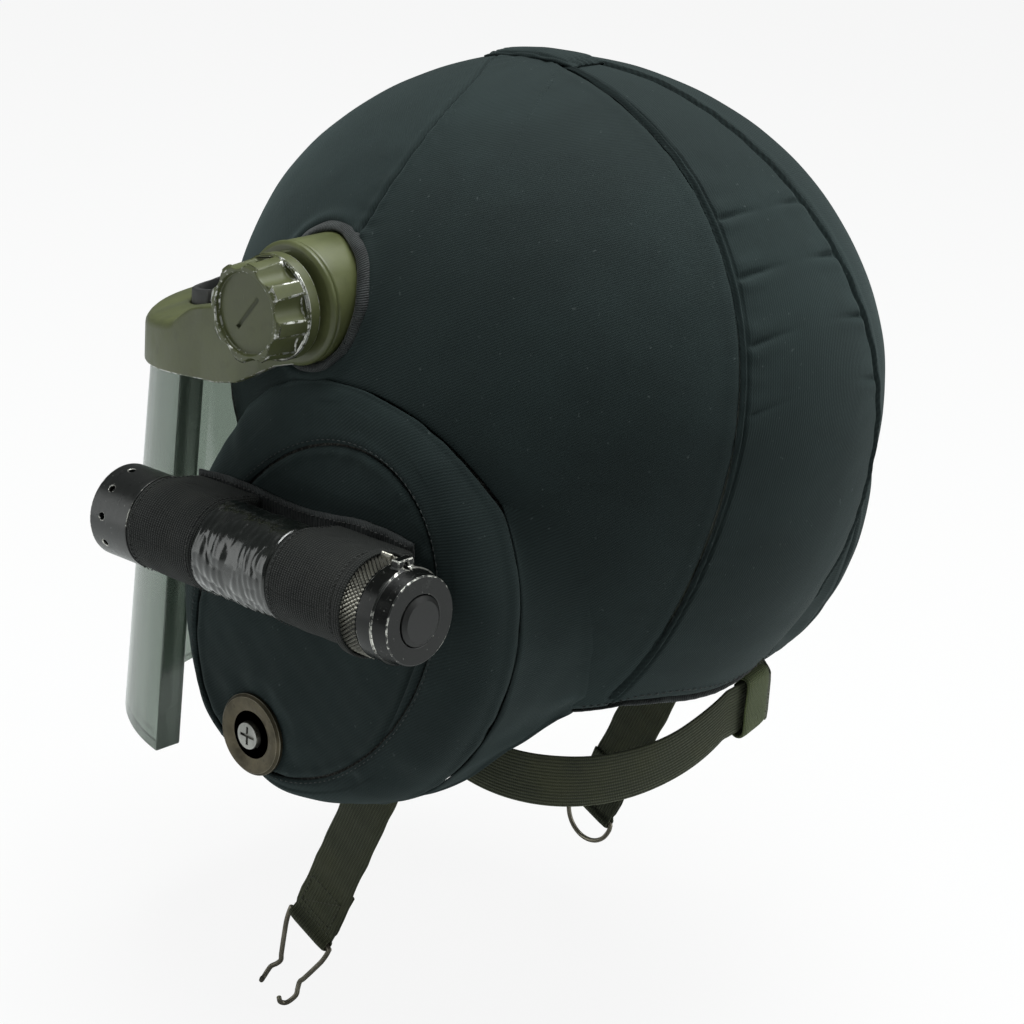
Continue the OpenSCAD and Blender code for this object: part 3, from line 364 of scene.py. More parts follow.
def make_mesh(name, verts, faces, uv=None, smooth=True):
    """A mesh in metres from points in millimetres, with a UV map in metres where one is given."""
    mesh = bpy.data.meshes.new(name)
    mesh.from_pydata((np.asarray(verts, float) * MM).tolist(), [], faces)
    if uv is not None:
        layer = mesh.uv_layers.new(name="UVMap")
        loops = np.empty(len(mesh.loops), np.int32)
        mesh.loops.foreach_get("vertex_index", loops)
        layer.data.foreach_set("uv", (np.asarray(uv, float) * MM)[loops].astype(np.float32).ravel())
    mesh.polygons.foreach_set("use_smooth", [smooth] * len(mesh.polygons))
    mesh.validate()
    mesh.update()
    return mesh


def placed(name, data):
    """A new object of this data, in the scene."""
    thing = bpy.data.objects.new(name, data)
    bpy.context.scene.collection.objects.link(thing)
    return thing


def make_piece(name, mesh, material, body, node=None):
    piece = placed(name, mesh)
    if material is not None:
        mesh.materials.clear()
        mesh.materials.append(material)
    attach(piece, body)
    if node:
        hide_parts(node)
    return piece


def welded(mesh, gap=1e-6):
    """A mesh opened for work, with its doubled points joined."""
    work = bmesh.new()
    work.from_mesh(mesh)
    bmesh.ops.remove_doubles(work, verts=work.verts, dist=gap)
    return work


def shut(work, mesh):
    work.to_mesh(mesh)
    work.free()
    return mesh


def outward(mesh):
    """Turns a closed mesh's faces outwards by the sign of its volume."""
    work = welded(mesh, 1e-7)
    bmesh.ops.recalc_face_normals(work, faces=work.faces)
    if work.calc_volume(signed=True) < 0:
        bmesh.ops.reverse_faces(work, faces=work.faces)
    return shut(work, mesh)


def sewn_shell(name, top, under, uv, wrap=False):
    """A closed sheet from an outer and an inner grid of points."""
    rows, cols = top.shape[:2]
    size = rows * cols
    faces = grid_faces(rows, cols, wrap) + flip(grid_faces(rows, cols, wrap, size))

    def rim(line):
        return [[int(p), int(p + size), int(q + size), int(q)] for p, q in zip(line[:-1], line[1:])]

    first = np.arange(cols)
    last = first + (rows - 1) * cols
    if wrap:
        first, last = np.append(first, first[0]), np.append(last, last[0])
        faces += rim(first) + rim(last[::-1])
    else:
        left, right = np.arange(rows) * cols, np.arange(rows) * cols + cols - 1
        faces += rim(first) + rim(right) + rim(last[::-1]) + rim(left[::-1])
    return two_layers(name, top, under, uv, faces)


def two_layers(name, top, under, uv, faces):
    verts = np.concatenate([top.reshape(-1, 3), under.reshape(-1, 3)])
    return outward(make_mesh(name, verts, faces, np.concatenate([uv.reshape(-1, 2)] * 2)))


def swept(name, rings, closed=False, uv=None):
    """A tube or band from a list of cross-sections of the same count, capped unless closed."""
    rings = np.asarray(rings, float)
    n, m = rings.shape[:2]
    if uv is None:
        uv = np.stack(np.meshgrid(run_along(rings.mean(1)), run_along(rings[0]), indexing="ij"), -1).reshape(-1, 2)
    faces = grid_faces(n, m, True, loop=closed)
    if not closed:
        faces += [list(range(m))[::-1], list(range((n - 1) * m, n * m))]
    return outward(make_mesh(name, rings.reshape(-1, 3), faces, uv))


def side_map(p):
    """Cloth laid on the dome's side: distances kept out from the ear's axis."""
    q = unit(p / np.array([DOME_W, DOME_L, DOME_H]))
    tilt = np.arccos(np.clip(q[..., 0], -1, 1))
    turn = np.arctan2(q[..., 2], q[..., 1])
    return np.stack([DOME_L * tilt * np.cos(turn), SIDE_REACH * tilt * np.sin(turn)], -1)


def middle_map(p, turn):
    """Cloth laid over the dome's middle: across it and along its turn."""
    return np.stack([DOME_W * np.arcsin(np.clip(p[..., 0] / DOME_W, -1, 1)), np.radians(turn) * TURN_REACH], -1)


# finishes


class Nodes:
    """A shader tree while it is being put together."""

    def __init__(self, tree):
        self.tree = tree

    def set(self, node, values):
        """Links or sets a node's sockets; a colour is made opaque."""
        for key, value in values.items():
            socket = node.inputs[key]
            if isinstance(value, bpy.types.NodeSocket):
                self.tree.links.new(value, socket)
            else:
                socket.default_value = (*value[:3], 1.0) if socket.type == "RGBA" else value

    def made(self, kind, values, output=0):
        """The output of a new node with these socket values."""
        node = self.tree.nodes.new(kind)
        self.set(node, values)
        return node.outputs[output]

    def sum(self, kind, a, b):
        node = self.tree.nodes.new("ShaderNodeMath")
        node.operation = kind
        self.set(node, {0: a, 1: b})
        return node.outputs[0]

    def plus(self, a, b):
        return self.sum("ADD", a, b)

    def times(self, a, b):
        return self.sum("MULTIPLY", a, b)


class Finish(Nodes):
    """A procedural material."""

    def __init__(self, name, roughness=0.5, metallic=0.0, **extra):
        self.mat = bpy.data.materials.new(name)
        self.mat.use_nodes = True
        self.tree = self.mat.node_tree
        self.tree.nodes.clear()
        out = self.tree.nodes.new("ShaderNodeOutputMaterial")
        self.shader = self.tree.nodes.new("ShaderNodeBsdfPrincipled")
        self.set(out, {"Surface": self.shader.outputs[0]})
        self.set(self.shader, {"Roughness": roughness, "Metallic": metallic})
        self.set(self.shader, {k.replace("_", " "): v for k, v in extra.items()})
        self.coords = self.tree.nodes.new("ShaderNodeTexCoord")

    def place(self, space="Object", turn=0.0, stretch=(1, 1, 1)):
        """Coordinates in metres, turned about Z in degrees and stretched."""
        where = self.coords.outputs[space]
        values = {"Vector": where, "Rotation": (0, 0, math.radians(turn)), "Scale": stretch}
        return self.made("ShaderNodeMapping", values)

    def noise(self, where, size, detail=3.0, rough=0.55, warp=0.0):
        """Noise whose patches are about size metres across."""
        values = {"Vector": where, "Scale": 0.5 / size, "Detail": detail, "Roughness": rough, "Distortion": warp}
        return self.made("ShaderNodeTexNoise", values, "Fac")

    def cells(self, where, size, kind="F1"):
        node = self.tree.nodes.new("ShaderNodeTexVoronoi")
        node.feature = kind
        self.set(node, {"Vector": where, "Scale": 1 / size})
        return node.outputs["Distance"]

    def lines(self, where, pitch, axis="X", warp=0.0, detail=1.0):
        """Parallel lines a pitch in metres apart."""
        node = self.tree.nodes.new("ShaderNodeTexWave")
        node.bands_direction = axis
        scale = math.pi / 10 / pitch
        self.set(node, {"Vector": where, "Scale": scale, "Distortion": warp, "Detail": detail, "Detail Scale": 1.5})
        return node.outputs["Fac"]

    def span(self, value, low, high, to_low=0.0, to_high=1.0):
        """Remaps a value from low..high, clamped."""
        values = {"Value": value, "From Min": low, "From Max": high, "To Min": to_low, "To Max": to_high}
        return self.made("ShaderNodeMapRange", values)

    def blend(self, share, a, b):
        node = self.tree.nodes.new("ShaderNodeMix")
        node.data_type = "RGBA"
        self.set(node, {0: share, 6: a, 7: b})
        return node.outputs[2]

    def over(self, under, field, between, most, colour):
        """Lays a colour over another where a field rises between two values, up to a share."""
        return self.blend(self.span(field, *between, 0, most), under, colour)

    def tone(self, colour, factor):
        return tuple(min(1.0, c * factor) for c in colour[:3])

    def relief(self, height, depth, strength=1.0, over=None):
        """A bump of a depth in metres, laid over another one where that is given."""
        values = {"Height": height, "Distance": depth, "Strength": strength}
        return self.made("ShaderNodeBump", values if over is None else {**values, "Normal": over})

    def done(self, colour=None, roughness=None, normal=None, metallic=None):
        values = {"Base Color": colour, "Roughness": roughness, "Normal": normal, "Metallic": metallic}
        self.set(self.shader, {key: value for key, value in values.items() if value is not None})
        return self.mat


def colours():
    return bpy.context.scene.helmet_colours


def sizes():
    return bpy.context.scene.helmet_sizes


MADE = {}


def kept(maker):
    """Each finish is made once and shared."""

    def get(*args):
        key = (maker.__name__, *args)
        if key not in MADE:
            MADE[key] = maker(*args)
        return MADE[key]

    return get


@kept
def twill(turn):
    """Navy cotton twill: diagonal ribs, crossing yarns, lint and slow fading."""
    base = tuple(colours().cover)
    sheen = {"Sheen_Weight": 0.09, "Sheen_Roughness": 0.5, "Sheen_Tint": (0.62, 0.8, 0.8)}
    f = Finish("cover_twill", 0.85, Specular_IOR_Level=0.2, **sheen)
    flat = f.place("UV", turn)
    ribs = f.lines(flat, sizes().twill_pitch, "Y", 0.9, 2.0)
    yarn = f.lines(f.place("UV", turn + 62), sizes().twill_pitch * 0.62, "X", 0.8, 2.0)
    body = f.place()
    fuzz = f.noise(body, 0.0006, 2)
    fade = f.noise(body, 0.045, 4, 0.6)
    blotch = f.noise(body, 0.012, 3, 0.6)
    weave = f.plus(f.times(ribs, 0.65), f.times(yarn, 0.35))
    tint = f.blend(f.span(weave, 0.1, 0.9), f.tone(base, 0.7), f.tone(base, 1.22))
    tint = f.over(tint, fade, (0.42, 0.68), 0.45, f.tone(base, 1.75))
    tint = f.over(tint, blotch, (0.5, 0.75), 0.3, f.tone(base, 0.55))
    lint = f.span(f.noise(body, 0.001, 1.0, 0.4), 0.76, 0.79)
    tint = f.blend(f.times(lint, 0.28), tint, (0.1, 0.12, 0.12))
    height = f.plus(weave, f.times(fuzz, 0.5))
    bump = f.relief(height, 0.0002, 0.5, f.relief(f.noise(body, 0.006, 3), 0.0006, 0.35))
    return f.done(tint, None, bump)


@kept
def binding_cloth():
    """Black binding tape round the openings."""
    f = Finish("binding_tape", 0.72, Sheen_Weight=0.15, Sheen_Roughness=0.4)
    ribs = f.lines(f.place("UV"), 0.0009, "X", 0.5)
    tint = f.blend(f.span(f.noise(f.place(), 0.004, 4), 0.35, 0.75), (0.006, 0.008, 0.009), (0.03, 0.036, 0.036))
    return f.done(tint, None, f.relief(f.plus(ribs, f.noise(f.place(), 0.0007)), 0.00025, 0.8))


@kept
def olive_paint(shade=1.0):
    """Satin olive paint, mottled, with fine scratches and rubbed lighter places."""
    base = tuple(c * shade for c in colours().olive)
    f = Finish("olive_paint", 0.4, Specular_IOR_Level=0.5)
    body = f.place()
    patches = f.noise(body, 0.018, 5, 0.62)
    tint = f.blend(f.span(patches, 0.35, 0.7), f.tone(base, 0.8), f.tone(base, 1.22))
    grime = f.noise(body, 0.004, 4, 0.65)
    tint = f.over(tint, grime, (0.55, 0.8), 0.55, f.tone(base, 0.5))
    scratch = f.noise(f.place("Object", 35, (1, 12, 1)), 0.003, 3)
    tint = f.over(tint, scratch, (0.68, 0.74), 0.35, f.tone(base, 2.0))
    rough = f.span(f.noise(body, 0.009, 4), 0.3, 0.7, 0.3, 0.5)
    orange_peel = f.relief(f.noise(body, 0.0011, 2), 0.00009, 0.6)
    return f.done(tint, rough, f.relief(grime, 0.0001, 0.4, orange_peel))


def chipped(name, roughness, ragged_size, zone, between, colours_of, depth, shine, metal):
    """A coating worn through to bright metal in ragged chips."""
    f = Finish(name, roughness)
    body = f.place()
    ragged = f.noise(body, ragged_size, 5, 0.7)
    wear = f.span(f.plus(ragged, f.times(f.noise(body, zone[0], 2), zone[1])), *between)
    tint = f.blend(wear, *colours_of)
    rough = f.span(ragged, 0.3, 0.7, *shine) if isinstance(shine, tuple) else shine
    return f.done(tint, rough, f.relief(f.times(wear, -1.0), depth, 0.8), f.times(wear, metal))


@kept
def chipped_edge(shade=1.0, amount=0.5):
    """The paint of an edge, worn through to bright metal in ragged chips."""
    paint = tuple(min(1.0, c * shade * 0.9) for c in colours().olive)
    between = (0.98 - 0.35 * amount, 1.03 - 0.35 * amount)
    shades = (paint, (0.62, 0.62, 0.58))
    return chipped("chipped_edge", 0.4, 0.0016, (0.02, 0.6), between, shades, 0.0002, (0.5, 0.3), 0.85)


@kept
def worn_metal(name, base, rough, metal=1.0, pit=0.4, grain=(1, 1, 1)):
    """Bare or plated metal with pits, smears and a directional grain."""
    f = Finish(name, rough, metal)
    body = f.place()
    smear = f.noise(body, 0.006, 5, 0.65)
    streak = f.noise(f.place("Object", 0, grain), 0.0015, 3)
    tint = f.blend(f.span(smear, 0.35, 0.72), f.tone(base, 0.55), f.tone(base, 1.2))
    tint = f.over(tint, f.noise(body, 0.0015, 3), (0.62, 0.7), pit, f.tone(base, 0.2))
    shine = f.span(smear, 0.3, 0.7, rough * 1.35, rough * 0.75)
    return f.done(tint, shine, f.relief(f.plus(streak, f.noise(body, 0.0009, 2)), 0.00006, 0.7))


@kept
def black_anodised(name, tone, rough, gloss=0.6):
    """Satin black tube: turned lines, dust specks and scuffs to grey."""
    f = Finish(name, rough, 0.2, Specular_IOR_Level=gloss)
    body = f.place()
    turned = f.lines(body, 0.0005, "Y", 0.3)
    scuff = f.noise(f.place("Object", 0, (1, 4, 1)), 0.004, 5, 0.7)
    tint = f.blend(f.span(scuff, 0.6, 0.78, 0, 0.4), (tone, tone * 1.08, tone), (0.11, 0.12, 0.11))
    dust = f.span(f.noise(body, 0.0008, 1), 0.73, 0.76, 0, 0.35)
    tint = f.blend(dust, tint, (0.3, 0.31, 0.29))
    return f.done(tint, f.span(scuff, 0.3, 0.75, rough * 0.85, rough * 1.25), f.relief(turned, 0.00003, 0.5))


@kept
def black_chipped():
    """Black coating gone at the edge, down to bright aluminium."""
    shades = ((0.02, 0.021, 0.02), (0.72, 0.71, 0.66))
    return chipped("black_chipped", 0.35, 0.0014, (0.012, 0.7), (0.88, 0.95), shades, 0.00012, 0.32, 0.9)


@kept
def gloss_tape():
    """Glossy black tape, wound, wrinkled and dusty on its ridges."""
    f = Finish("gloss_tape", 0.16, Specular_IOR_Level=0.75, Coat_Weight=0.5, Coat_Roughness=0.1)
    body = f.place()
    crease = f.noise(f.place("Object", 0, (1, 1.6, 1)), 0.009, 4, 0.6, 0.6)
    comb = f.lines(f.place("UV", 8), 0.0035, "X", 1.5, 2.0)
    tint = f.blend(f.span(crease, 0.5, 0.8), (0.004, 0.005, 0.004), (0.018, 0.02, 0.017))
    dust = f.span(f.noise(body, 0.0016, 4, 0.6), 0.7, 0.8, 0, 0.2)
    tint = f.blend(dust, tint, (0.17, 0.17, 0.16))
    bump = f.relief(comb, 0.0002, 0.12, f.relief(crease, 0.0014, 0.3))
    return f.done(tint, f.span(f.noise(body, 0.003, 4), 0.35, 0.7, 0.1, 0.34), bump)


@kept
def elastic(turn=0.0):
    """Black ribbed elastic: tight cords crossed by picks."""
    f = Finish("ribbed_elastic", 0.78, Sheen_Weight=0.04, Sheen_Roughness=0.4, Specular_IOR_Level=0.3)
    flat = f.place("UV", turn)
    cords = f.lines(flat, 0.00125, "X", 0.25)
    picks = f.lines(flat, 0.0009, "Y", 0.35)
    weave = f.times(f.span(cords, 0.1, 0.9), f.span(picks, 0.0, 0.8, 0.25, 1.0))
    tint = f.blend(weave, (0.003, 0.0034, 0.0034), (0.034, 0.038, 0.035))
    tint = f.over(tint, f.noise(f.place(), 0.01, 4), (0.45, 0.75), 0.3, (0.04, 0.041, 0.036))
    return f.done(tint, None, f.relief(f.plus(weave, f.times(f.noise(f.place(), 0.0005), 0.3)), 0.00045, 0.9))


@kept
def webbing(name, kind, turn=0.0):
    """Olive cotton webbing: lengthwise ribs broken by picks, faded in patches."""
    base = tuple(getattr(colours(), kind))
    f = Finish(name, 0.85, Sheen_Weight=0.18, Sheen_Roughness=0.5, Sheen_Tint=(0.8, 0.85, 0.6))
    flat = f.place("UV", turn)
    ribs = f.lines(flat, sizes().web_rib, "Y", 0.3)
    picks = f.lines(flat, sizes().web_rib * 0.55, "X", 0.6)
    weave = f.plus(f.times(ribs, 0.65), f.times(picks, 0.35))
    tint = f.blend(f.span(weave, 0.15, 0.9), f.tone(base, 0.42), f.tone(base, 1.35))
    body = f.place()
    faded = tuple(c * s for c, s in zip(base, (1.7, 1.5, 1.2)))
    tint = f.over(tint, f.noise(body, 0.014, 4), (0.45, 0.72), 0.6, faded)
    tint = f.over(tint, f.noise(body, 0.005, 3), (0.55, 0.78), 0.4, f.tone(base, 0.4))
    return f.done(tint, None, f.relief(f.plus(weave, f.times(f.noise(body, 0.0005), 0.5)), 0.0004, 0.9))


@kept
def soft_lining(name, tone, warm=1.0):
    """Brushed lining cloth of the pads."""
    f = Finish(name, 0.9, Sheen_Weight=0.2, Sheen_Roughness=0.5)
    body = f.place()
    knit = f.cells(body, 0.0013)
    base = (tone * warm, tone, tone * 0.92)
    tint = f.blend(f.span(knit, 0.1, 0.75), f.tone(base, 1.4), f.tone(base, 0.55))
    tint = f.over(tint, f.noise(body, 0.02, 4), (0.4, 0.7), 0.4, f.tone(base, 1.8))
    return f.done(tint, None, f.relief(f.times(knit, -1.0), 0.0003, 0.7))


@kept
def cushion_leather():
    """Dark brown leather of the ear cushions, pebbled and polished by wear."""
    f = Finish("cushion_leather", 0.48, Coat_Weight=0.1, Coat_Roughness=0.3)
    body = f.place()
    pebble = f.cells(body, 0.0016, "DISTANCE_TO_EDGE")
    worn = f.noise(body, 0.02, 4)
    tint = f.blend(f.span(pebble, 0.0, 0.25), (0.012, 0.007, 0.005), (0.06, 0.036, 0.024))
    tint = f.over(tint, worn, (0.45, 0.7), 0.5, (0.1, 0.065, 0.045))
    return f.done(tint, f.span(worn, 0.3, 0.7, 0.56, 0.38), f.relief(f.span(pebble, 0.0, 0.3), 0.0002, 0.8))


@kept
def open_foam():
    """Grey open-celled foam."""
    f = Finish("open_foam", 0.95)
    pores = f.cells(f.place(), 0.0014)
    tint = f.blend(f.span(pores, 0.15, 0.6), (0.085, 0.085, 0.075), (0.02, 0.02, 0.018))
    return f.done(tint, None, f.relief(f.times(pores, -1.0), 0.0008, 0.9))


@kept
def rubber(name, tone, rough=0.6):
    """Black rubber with a dull bloom and moulding grain."""
    f = Finish(name, rough)
    body = f.place()
    bloom = f.noise(body, 0.01, 4)
    tint = f.blend(f.span(bloom, 0.4, 0.75), (tone, tone, tone), (tone * 2.4, tone * 2.4, tone * 2.3))
    shine = f.span(bloom, 0.3, 0.7, rough * 0.9, min(1, rough * 1.2))
    return f.done(tint, shine, f.relief(f.noise(body, 0.0009, 3), 0.0001, 0.6))


@kept
def shell_paint():
    """Grey-green primer inside the pressed shell, with scratches to metal."""
    f = Finish("shell_paint", 0.55)
    body = f.place()
    patches = f.noise(body, 0.03, 5)
    tint = f.blend(f.span(patches, 0.35, 0.7), (0.17, 0.19, 0.165), (0.26, 0.28, 0.25))
    scratch = f.span(f.noise(f.place("Object", 25, (1, 14, 1)), 0.004, 4), 0.66, 0.7)
    tint = f.blend(f.times(scratch, 0.6), tint, (0.5, 0.5, 0.48))
    return f.done(tint, f.span(patches, 0.3, 0.7, 0.45, 0.62), f.relief(f.noise(body, 0.0015, 3), 0.00015, 0.6))


@kept
def visor_clear():
    """Thick laminated pane: pale grey-green, a little hazy and scratched."""
    pane = tuple(colours().pane)
    f = Finish("visor_clear", 0.1, Transmission_Weight=0.82, IOR=1.5, Specular_IOR_Level=0.5)
    body = f.place()
    haze = f.noise(body, 0.03, 4)
    tint = f.blend(f.span(haze, 0.35, 0.7), f.tone(pane, 0.92), f.tone(pane, 1.06))
    scratch = f.span(f.noise(f.place("Object", 20, (1, 1, 18)), 0.006, 3), 0.64, 0.7, 0, 1)
    rough = f.plus(f.span(haze, 0.3, 0.7, 0.1, 0.2), f.times(scratch, 0.05))
    return f.done(tint, rough, f.relief(f.noise(body, 0.004, 2), 0.00005, 0.4))


@kept
def lamp_window():
    f = Finish("lamp_window", 0.04, Transmission_Weight=0.95, IOR=1.45)
    smudge = f.noise(f.place(), 0.006, 4)
    return f.done(f.blend(smudge, (0.92, 0.95, 0.95), (0.8, 0.84, 0.84)), f.span(smudge, 0.4, 0.7, 0.02, 0.14))


@kept
def mirror_cone():
    f = Finish("mirror_cone", 0.08, 1.0)
    rings = f.cells(f.place(), 0.0025)
    tint = f.blend(f.noise(f.place(), 0.01), (0.9, 0.9, 0.88), (0.7, 0.71, 0.7))
    return f.done(tint, f.span(f.noise(f.place(), 0.004), 0.3, 0.7, 0.05, 0.2), f.relief(rings, 0.00015, 0.5))


@kept
def cell_wrap():
    f = Finish("cell_wrap", 0.32)
    bands = f.lines(f.place(), 0.02, "Y", 0.2)
    tint = f.blend(f.span(bands, 0.45, 0.55), (0.32, 0.14, 0.06), (0.05, 0.05, 0.05))
    shine = f.span(f.noise(f.place(), 0.003), 0.3, 0.7, 0.25, 0.45)
    return f.done(tint, shine, f.relief(f.noise(f.place(), 0.002), 0.00005, 0.5))


@kept
def thread(name, base):
    """Waxed sewing thread, laid in twisted strands."""
    f = Finish(name, 0.7, Sheen_Weight=0.2)
    twist = f.lines(f.place("Object", 40), 0.0004, "X")
    return f.done(f.blend(twist, f.tone(base, 0.5), f.tone(base, 1.4)), None, f.relief(twist, 0.0001, 0.8))


def black_thread():
    return thread("black_thread", (0.012, 0.013, 0.012))


def bolt_steel():
    return worn_metal("bolt_steel", (0.42, 0.42, 0.4), 0.35, 1.0, 0.4)


# camera and stage


def photo_camera():
    """The photograph's viewpoint: its place, and its right, up and back directions, in metres."""
    tip = math.radians(NOSE_UP)

    def level(left, back, up):
        return Vector((left, back * math.cos(tip) - up * math.sin(tip), up * math.cos(tip) + back * math.sin(tip)))

    a, e = math.radians(CAM_TURN), math.radians(CAM_RISE)
    back = level(math.cos(a) * math.cos(e), math.sin(a) * math.cos(e), math.sin(e))
    right = level(-math.sin(a), math.cos(a), 0)
    up = back.cross(right)
    off_x, off_y = DOME_PIXEL[0] - PHOTO_SIZE / 2, DOME_PIXEL[1] - PHOTO_SIZE / 2
    reach = CAM_REACH * MM
    place = back * reach - right * (off_x / CAM_FOCUS * reach) + up * (off_y / CAM_FOCUS * reach)
    return place, right, up, back


class HELMET_OT_place_camera(bpy.types.Operator):
    """Sets the camera where the photograph was taken from"""

    bl_idname = "helmet.place_camera"
    bl_label = "Place camera"

    def execute(self, context):
        place, right, up, back = photo_camera()
        lens = bpy.data.cameras.new("photo_camera")
        lens.sensor_width = SENSOR
        lens.lens = CAM_FOCUS / PHOTO_SIZE * SENSOR
        lens.clip_start, lens.clip_end = 0.05, 20
        camera = placed("photo_camera", lens)
        turn = Matrix((right, up, back)).transposed().to_4x4()
        camera.matrix_world = Matrix.Translation(place) @ turn
        context.scene.camera = camera
        return {"FINISHED"}


def white_where_seen(tree, shader, output, strength, share=1.0):
    """Shows a plain white glow to the camera and through glass, and the shader to all else."""
    n = Nodes(tree)
    path = tree.nodes.new("ShaderNodeLightPath").outputs
    seen = n.sum("MAXIMUM", path["Is Camera Ray"], path["Is Transmission Ray"])
    if share < 1:
        seen = n.times(seen, share)
    on_surface = output.bl_idname == "ShaderNodeOutputMaterial"
    kind = "ShaderNodeEmission" if on_surface else "ShaderNodeBackground"
    glow = n.made(kind, {"Color": (1, 1, 1), "Strength": strength})
    n.set(output, {"Surface": n.made("ShaderNodeMixShader", {0: seen, 1: shader, 2: glow})})


# The softboxes as (name, turn from the camera, rise, reach, size, share of the key light's power), in metres.
SOFTBOXES = (
    ("key_softbox", 0, 1.45, 0.8, (0.9, 0.8), 1.6),
    ("top_softbox", 60, 1.5, 0.5, (1.2, 1.0), 1.5),
    ("side_softbox", 75, 0.35, 1.5, (0.6, 1.1), 0.5),
    ("front_softbox", -80, 0.3, 1.5, (0.7, 1.1), 0.3),
)


def lay_floor():
    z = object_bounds()[0][2] - 0.001
    half = 6.0
    mesh = bpy.data.meshes.new("floor")
    corners = [(-half, -half, z), (half, -half, z), (half, half, z), (-half, half, z)]
    mesh.from_pydata(corners, [], [(0, 1, 2, 3)])
    placed("floor", mesh)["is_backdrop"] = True
    paper = bpy.data.materials.new("pale_floor")
    paper.use_nodes = True
    tree = paper.node_tree
    diffuse = tree.nodes["Principled BSDF"]
    Nodes(tree).set(diffuse, {"Base Color": (0.86, 0.87, 0.87), "Roughness": 0.9})
    white_where_seen(tree, diffuse.outputs[0], tree.nodes["Material Output"], 1.0, 0.9)
    mesh.materials.append(paper)


def light_world(scene):
    scene.world = bpy.data.worlds.new("studio")
    scene.world.use_nodes = True
    tree = scene.world.node_tree
    sky = tree.nodes["Background"]
    Nodes(tree).set(sky, {"Color": (0.93, 1.0, 0.99), "Strength": sizes().surround})
    white_where_seen(tree, sky.outputs[0], tree.nodes["World Output"], 0.96)


def hang_softbox(name, across, rise, reach, size, power):
    _, right, up, back = photo_camera()
    target = Vector((0, 0, -0.03))
    turn = math.radians(across)
    spot = target + (back * math.cos(turn) + right * math.sin(turn)) * reach + up * rise
    data = bpy.data.lights.new(name, "AREA")
    data.shape = "RECTANGLE"
    data.size, data.size_y = size
    data.energy = sizes().key_power * power
    data.color = (0.97, 1.0, 0.985)
    lamp = placed(name, data)
    aim = (spot - target).to_track_quat("Z", "Y").to_matrix().to_4x4()
    lamp.matrix_world = Matrix.Translation(spot) @ aim


class HELMET_OT_set_stage(bpy.types.Operator):
    """Lays a plain pale floor under the helmet and lights it softly"""

    bl_idname = "helmet.set_stage"
    bl_label = "Set stage"

    def execute(self, context):
        lay_floor()
        light_world(context.scene)
        for row in SOFTBOXES:
            hang_softbox(*row)
        context.scene.view_settings.view_transform = "Standard"
        return {"FINISHED"}


# the cover


def groove(d, depth=1.05, width=0.75):
    """The line of a seam, sunk between two panels."""
    return -depth * hump(d, 0, width)


def pucker(points, d, run, seed, height, pitch, fall):
    """Irregular gathers that die away from a seam."""
    phase = run / pitch + 0.8 * ripple(points, pitch * 4, seed)
    uneven = 0.55 + 0.45 * ripple(points, pitch * 6, seed + 1)
    return height * np.sin(2 * math.pi * phase) * np.exp(-((d / fall) ** 1.3)) * uneven


# The crest's middle as turn and reach from the ears, and how many folds run out from it.
CREST_TURN, CREST_REACH, CREST_FOLDS = 94, 204, 16


def cover_relief(points):
    """How far the cover stands off its smooth form; also the distance from the rear seam and the run along it."""
    left = np.abs(points) * [1, 0, 0] + points * [0, 1, 1]
    d_front, run_front = near(left, FRONT_SEAM_3D)
    d_open, _ = near(left, OPENING_3D)
    d_rear, run_rear = near(left, REAR_SEAM_3D)
    h = 0.28 * ripple(points, 60, 5) + 0.12 * ripple(points, 22, 6)
    h += groove(d_front, 1.1, 0.7) + 0.3 * hump(d_front, 2.2, 1.4)
    h += pucker(points, d_front, run_front, 11, 0.28, 9.0, 9.0)
    h += groove(d_open, 0.6, 1.2) + 1.1 * hump(d_open, 3.0, 3.0)
    tip = math.radians(CREST_TURN)
    crown = np.array([0.0, EAR_Y, EAR_Z]) + np.array([0, math.cos(tip), math.sin(tip)]) * CREST_REACH
    d_crown = np.linalg.norm(points - crown, axis=-1)
    turn = np.arctan2(points[..., 0], points[..., 1] - crown[1])
    gathers = np.sin(turn * CREST_FOLDS + 2 * ripple(points, 14, 8)) * hump(d_crown, 17, 8)
    h += sizes().gather * gathers
    return h, d_rear, run_rear


# The rear pleats as (turn about the ears, slant, depth).
PLEATS = ((58.0, 0.06, 1.0), (50.8, 0.03, 1.15), (43.2, 0.0, 0.75), (35.5, -0.03, 0.4))


def rear_pleats(points, turn):
    """Short pressed pleats in the rear panel beside its seams, with swells between them."""
    p = np.abs(points[..., 0])
    inside = np.clip(rear_seam_x(turn) - p, 0, None)
    h = np.zeros(p.shape)
    for at_turn, slant, deep in PLEATS:
        v = np.radians(turn - at_turn) * 178 + slant * inside
        fade = np.exp(-((inside / 17.0) ** 2)) * ramp(inside, 3.0, 3.5)
        h += deep * fade * (-2.4 * hump(v, 0, 1.0) + 1.1 * hump(v, -3.4, 2.6) + 0.9 * hump(v, 4.0, 3.0))
    return h


def front_panel():
    """The front panel, between its seams and the brow."""
    f = crowded(64, 0.75, 2.2)
    c = np.linspace(1, -1, 301)[None]
    seam = smooth_at(FRONT_LINE, np.abs(c) * LAST)
    w_seam, turn_seam = np.sign(c) * np.clip(seam[..., 0], 0, 1), seam[..., 1]
    w = sind(mix(asind(sind(90 * c) * 0.9999), asind(w_seam), f))
    turn = mix(BROW_TURN, turn_seam, f)
    base = dome_point(w, turn)
    h = cover_relief(base)[0]
    off_brow = f * 120
    h = h * (1 - hump(off_brow, 0, 3)) - 0.9 * hump(off_brow, 0, 1.6)
    lay_panel("front", base, h, middle_map(base, turn), 28)


